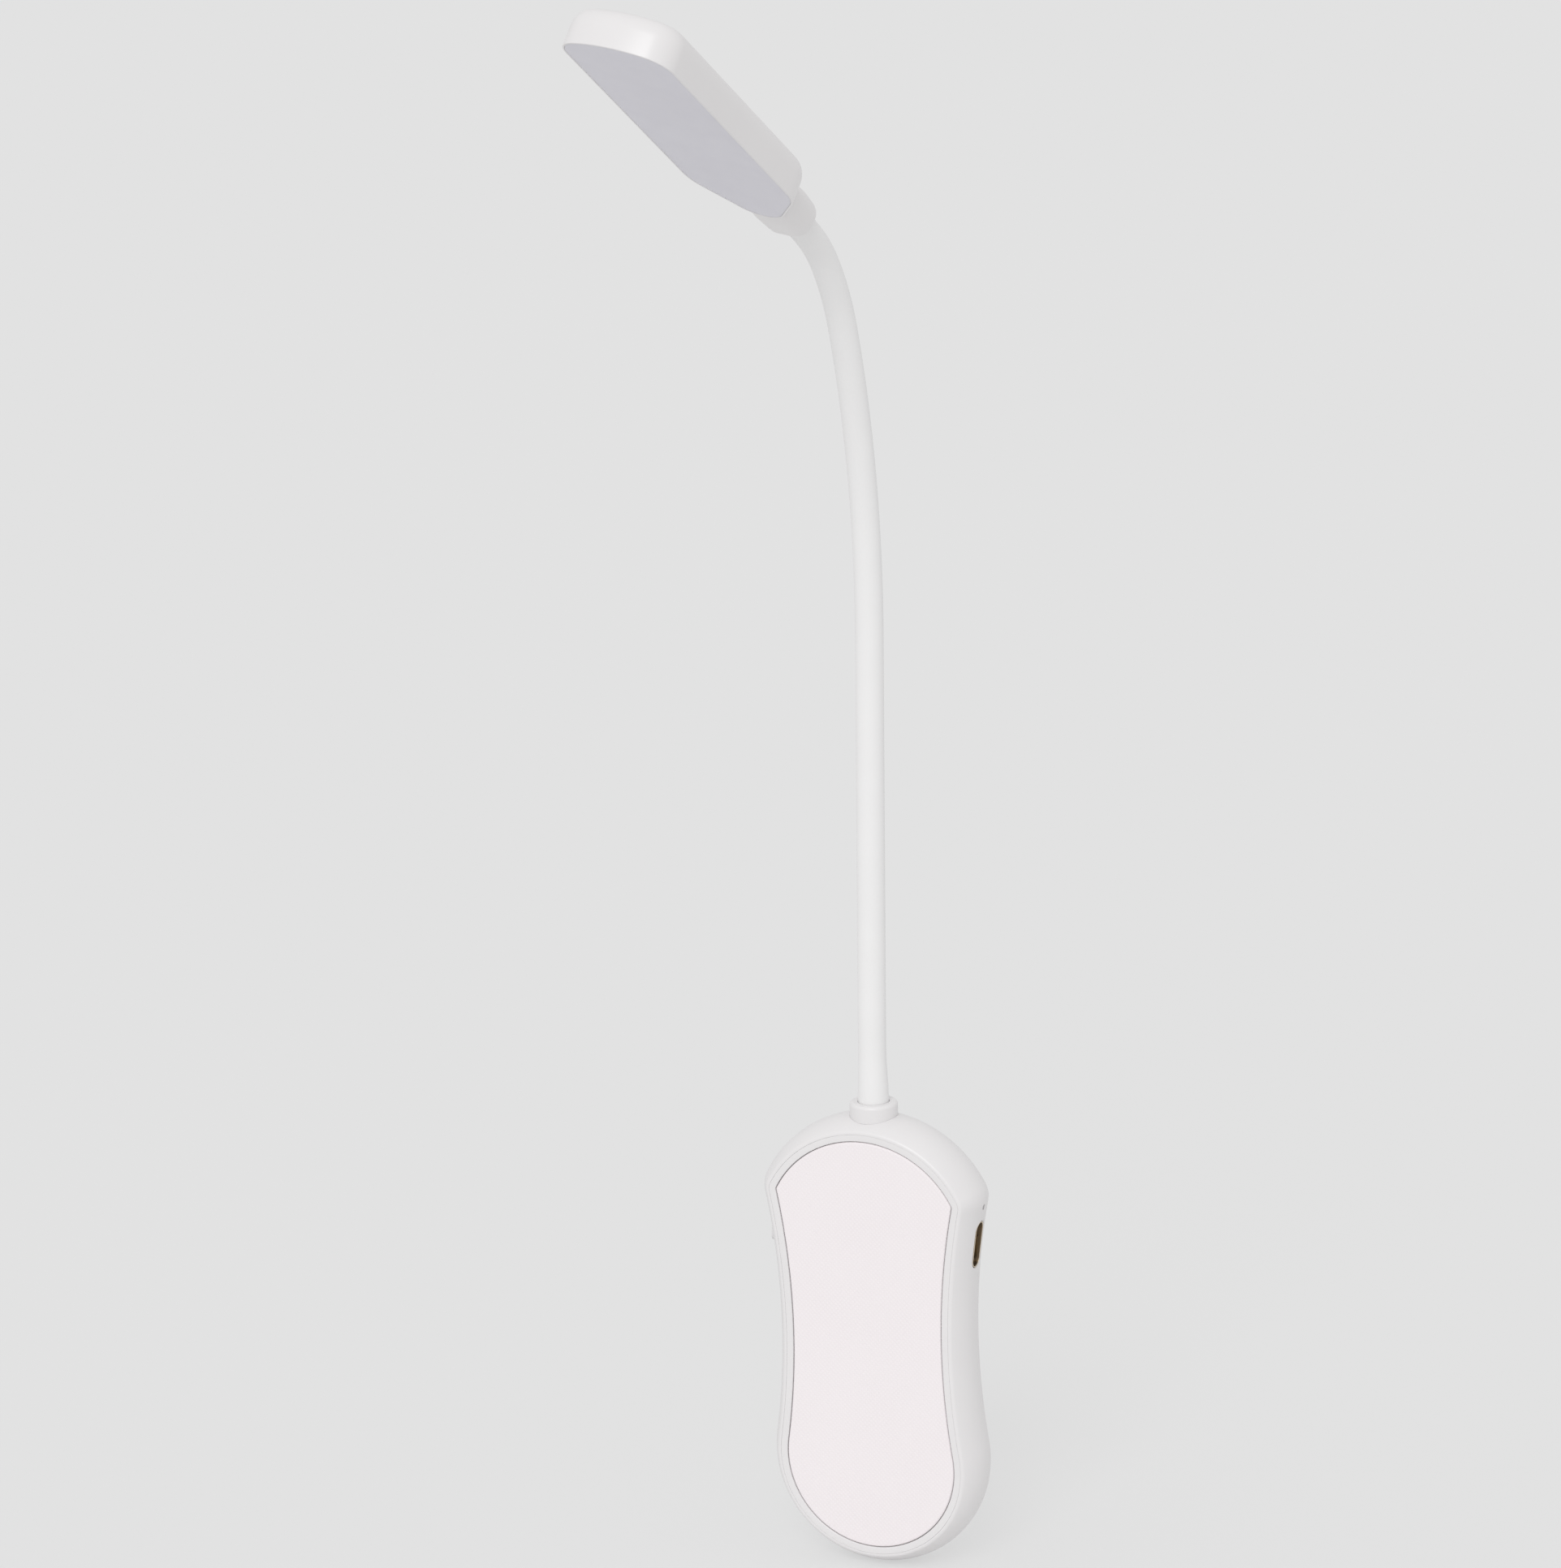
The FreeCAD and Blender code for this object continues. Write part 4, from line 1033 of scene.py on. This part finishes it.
def housingScrews():
    # low domed heads with one slot each
    s = screw
    profile = roundedLine([(0.25, s["tip"], 0), (s["shank"], s["tip"] + 0.7, 0),
                           (s["shank"], s["headLow"], 0),
                           (s["headRadius"], s["headLow"], 0.08),
                           (s["headRadius"], s["headTop"] - s["crown"], 0.22),
                           (s["headRadius"] * 0.5, s["headTop"] - 0.05, 1.2), (0.2, s["headTop"], 0)])
    heads = makeMesh("housingScrewSet",
                     join(*[turned(profile, "y", (x, 0, z), 48) for x, z in housing["screws"]]))
    wide, high, deep = s["slot"]
    slots = [boxSurface((x - wide / 2, s["headTop"] - deep, z - high / 2),
                        (x + wide / 2, s["headTop"] + 1, z + high / 2))
             for x, z in housing["screws"]]
    return carve(heads, makeMesh("tool", join(*slots)))


dress(housingScrews(), brightSteel, "base", "steel", "housing_screws")
print("socket, button, light pipe and screws made")


# Clip, its pin, its spring and its jaw pad

clipPlate = soften(copyOf("clip_arm", "clipPlate"), 0.55, 4, 28.0)
dress(clipPlate, whitePlastic, "clip", "housing_white", "clip_arm")
pad = soften(copyOf("jaw_pad", "jawGrip"), 0.14, 2)
dress(pad, jawRubber, "clip", "jaw_rubber", "jaw_pad")

pin = {"radius": 1.0, "end": 9.1, "headRadius": 1.5, "head": 0.7}
pinProfile = roundedLine([(0.3, -pin["end"], 0), (pin["radius"], -pin["end"], 0.25),
                          (pin["radius"], pin["end"], 0),
                          (pin["headRadius"], pin["end"], 0.06),
                          (pin["headRadius"], pin["end"] + pin["head"], 0.3),
                          (0.3, pin["end"] + pin["head"], 0)])
pinPiece = makeMesh("hingePin", turned(pinProfile, "x", (0, lug["pinY"], lug["pinZ"]), 48))
dress(pinPiece, brightSteel, "base", "steel", "clip_pin")


def springLine():
    # tail along x, quarter bend, helix about the pin and straight leg, with side vectors off the axis
    c = coil
    half = c["turns"] * c["pitch"] / 2
    y0, z0 = lug["pinY"], lug["pinZ"]
    tail = np.linspace(c["tailEnd"], -half - c["bend"], 8)[:-1]
    line = [np.stack([tail, np.full(7, y0 + c["radius"]), np.full(7, z0 - c["bend"])], 1)]
    quarter = np.linspace(0, np.pi / 2, 8)[:-1]
    line.append(np.stack([-half - c["bend"] + c["bend"] * np.sin(quarter), np.full(7, y0 + c["radius"]),
                          z0 - c["bend"] * np.cos(quarter)], 1))
    t = np.linspace(0, c["turns"], 40 * c["turns"] + 1)
    angle = np.pi / 2 + 2 * np.pi * t
    off = np.stack([np.zeros_like(t), np.sin(angle), -np.cos(angle)], 1)
    middle = np.stack([-half + c["pitch"] * t, np.full_like(t, y0), np.full_like(t, z0)], 1)
    line.append(middle + off * c["radius"])
    leg = np.linspace(0, c["leg"], 14)[1:]
    line.append(np.stack([np.full(13, half), np.full(13, y0 + c["radius"]), z0 + leg], 1))
    ahead = np.array([0.0, 1.0, 0.0])
    sideways = np.vstack([np.tile(ahead, (14, 1)), off, np.tile(ahead, (13, 1))])
    return np.vstack(line), sideways


def clipSpring():
    # round wire carried along the spring's line, with closed ends
    line, sideways = springLine()
    ways = np.gradient(line, axis=0)
    ways /= np.linalg.norm(ways, axis=1)[:, None]
    rings = tubeRings(line, ways, np.full(len(line), coil["wire"]), sideways, coil["around"])
    return makeMesh("clipCoil", ringSurface(rings, line[0], line[-1]), 50.0)


dress(clipSpring(), springSteel, "clip", "spring_steel", "clip_spring")
print("clip, pin and spring made")


# What stays as the CAD made it gets its own finish

finishes = {
    "battery_foam": greyFoam, "battery_cell": cellFoil, "battery_leads": leadRedBlack,
    "lamp_leads": leadRedBlack,
    "control_board": boardGreen, "charge_chip": chipBlack, "charge_led": chipYellow,
    "push_switch": chipBlack,
    "neck_clamp": brass, "neck_root_core": springSteel, "neck_tip_core": springSteel,
    "light_board": boardWhite, "light_chips": chipYellow, "light_board_tape": tapeGrey,
}
for k in range(1, 10):
    finishes["neck_core_%d" % k] = springSteel
for name, material in finishes.items():
    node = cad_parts[name]
    for place in node.material_slots:
        place.material = material
    if not node.material_slots:
        node.data.materials.append(material)
print("CAD nodes finished")


# Floor, light and camera

studio = {
    "background": (0.7605, 0.7605, 0.7605), "floorLevel": -45.45, "floorGlow": 0.72, "floorTone": 0.805,
    "world": 0.75,
    "key": {"strength": 1.00, "angle": 30.0, "from": (0.15, -0.78, 0.62)},
}


def paleToLens(nodes, links):
    # one where a ray comes from the camera, a reflection or a view through something clear
    rays = nodes.new("ShaderNodeLightPath")
    total = rays.outputs["Is Camera Ray"]
    for output in ("Is Glossy Ray", "Is Transmission Ray"):
        most = nodes.new("ShaderNodeMath")
        most.operation = "MAXIMUM"
        links.new(total, most.inputs[0])
        links.new(rays.outputs[output], most.inputs[1])
        total = most.outputs["Value"]
    return total


def studioFloor():
    points = np.array([(-9000, -9000, 0), (9000, -9000, 0), (9000, 9000, 0), (-9000, 9000, 0)], float)
    points[:, 2] = studio["floorLevel"]
    plane = bpy.data.meshes.new("studioFloor")
    plane.from_pydata((points * mm).tolist(), [], [[0, 1, 2, 3]])
    ground = put("studioFloor", plane)
    material, nodes, links, shader, spot = newMaterial("floorPale")
    cloud = noise(nodes, links, spot, 3.0)
    tone = studio["floorTone"]
    paint(nodes, links, cloud, ((0.3, tone * 0.995), (0.7, tone * 1.005)), shader.inputs["Base Color"])
    shader.inputs["Roughness"].default_value = 0.9
    shader.inputs["Specular IOR Level"].default_value = 0.0
    glow = nodes.new("ShaderNodeEmission")
    glow.inputs["Color"].default_value = (*studio["background"], 1)
    share = nodes.new("ShaderNodeMath")
    share.operation = "MULTIPLY"
    links.new(paleToLens(nodes, links), share.inputs[0])
    share.inputs[1].default_value = studio["floorGlow"]
    both = nodes.new("ShaderNodeMixShader")
    links.new(share.outputs["Value"], both.inputs[0])
    links.new(shader.outputs["BSDF"], both.inputs[1])
    links.new(glow.outputs["Emission"], both.inputs[2])
    out = next(n for n in nodes if n.type == "OUTPUT_MATERIAL")
    links.new(both.outputs["Shader"], out.inputs["Surface"])
    ground.data.materials.append(material)


def studioWorld():
    world = bpy.data.worlds.new("studioWorld")
    bpy.context.scene.world = world
    world.use_nodes = True
    nodes, links = world.node_tree.nodes, world.node_tree.links
    nodes.clear()
    out = nodes.new("ShaderNodeOutputWorld")
    lit = nodes.new("ShaderNodeBackground")
    lit.inputs["Color"].default_value = (1, 1, 1, 1)
    lit.inputs["Strength"].default_value = studio["world"]
    seen = nodes.new("ShaderNodeBackground")
    seen.inputs["Color"].default_value = (*studio["background"], 1)
    both = nodes.new("ShaderNodeMixShader")
    links.new(paleToLens(nodes, links), both.inputs[0])
    links.new(lit.outputs["Background"], both.inputs[1])
    links.new(seen.outputs["Background"], both.inputs[2])
    links.new(both.outputs["Shader"], out.inputs["Surface"])


def studioLamp(name, look):
    lamp = bpy.data.lights.new(name, "SUN")
    lamp.energy = look["strength"]
    lamp.angle = math.radians(look["angle"])
    thing = put(name, lamp)
    way = Vector(look["from"])
    thing.location = way.normalized() * 1.5
    thing.rotation_euler = way.to_track_quat("Z", "Y").to_euler()


lens = {"yaw": 24.8, "down": 14.7, "roll": 1.8, "distance": 1250.0, "scale": 6.6,
        "originPixel": (1067.7, 1649.8), "imageSize": (1923, 1932)}


def makeCamera():
    # looks along -v; the image of the row's origin falls on its pixel in the photograph
    yaw, down, roll = (math.radians(lens[k]) for k in ("yaw", "down", "roll"))
    right = Vector((math.cos(yaw), math.sin(yaw), 0))
    up = Vector((-math.sin(yaw) * math.sin(down), math.cos(yaw) * math.sin(down), math.cos(down)))
    back = Vector((math.sin(yaw) * math.cos(down), -math.cos(yaw) * math.cos(down), math.sin(down)))
    across = math.cos(roll) * right - math.sin(roll) * up
    rise = math.sin(roll) * right + math.cos(roll) * up
    width, height = lens["imageSize"]
    spot = (lens["distance"] * back - (lens["originPixel"][0] - width / 2) / lens["scale"] * across
            + (lens["originPixel"][1] - height / 2) / lens["scale"] * rise)
    data = bpy.data.cameras.new("photoCamera")
    data.sensor_fit = "HORIZONTAL"
    data.sensor_width = 36.0
    data.lens = 36.0 * lens["distance"] * lens["scale"] / width
    data.clip_start = 0.01
    data.clip_end = 100.0
    camera = put("photoCamera", data)
    camera.matrix_world = Matrix((
        (across.x, rise.x, back.x, spot.x * mm), (across.y, rise.y, back.y, spot.y * mm),
        (across.z, rise.z, back.z, spot.z * mm), (0, 0, 0, 1)))
    bpy.context.scene.camera = camera


studioFloor()
studioWorld()
studioLamp("keyLight", studio["key"])
makeCamera()
bpy.context.scene.view_settings.view_transform = "Standard"
print("studio made")
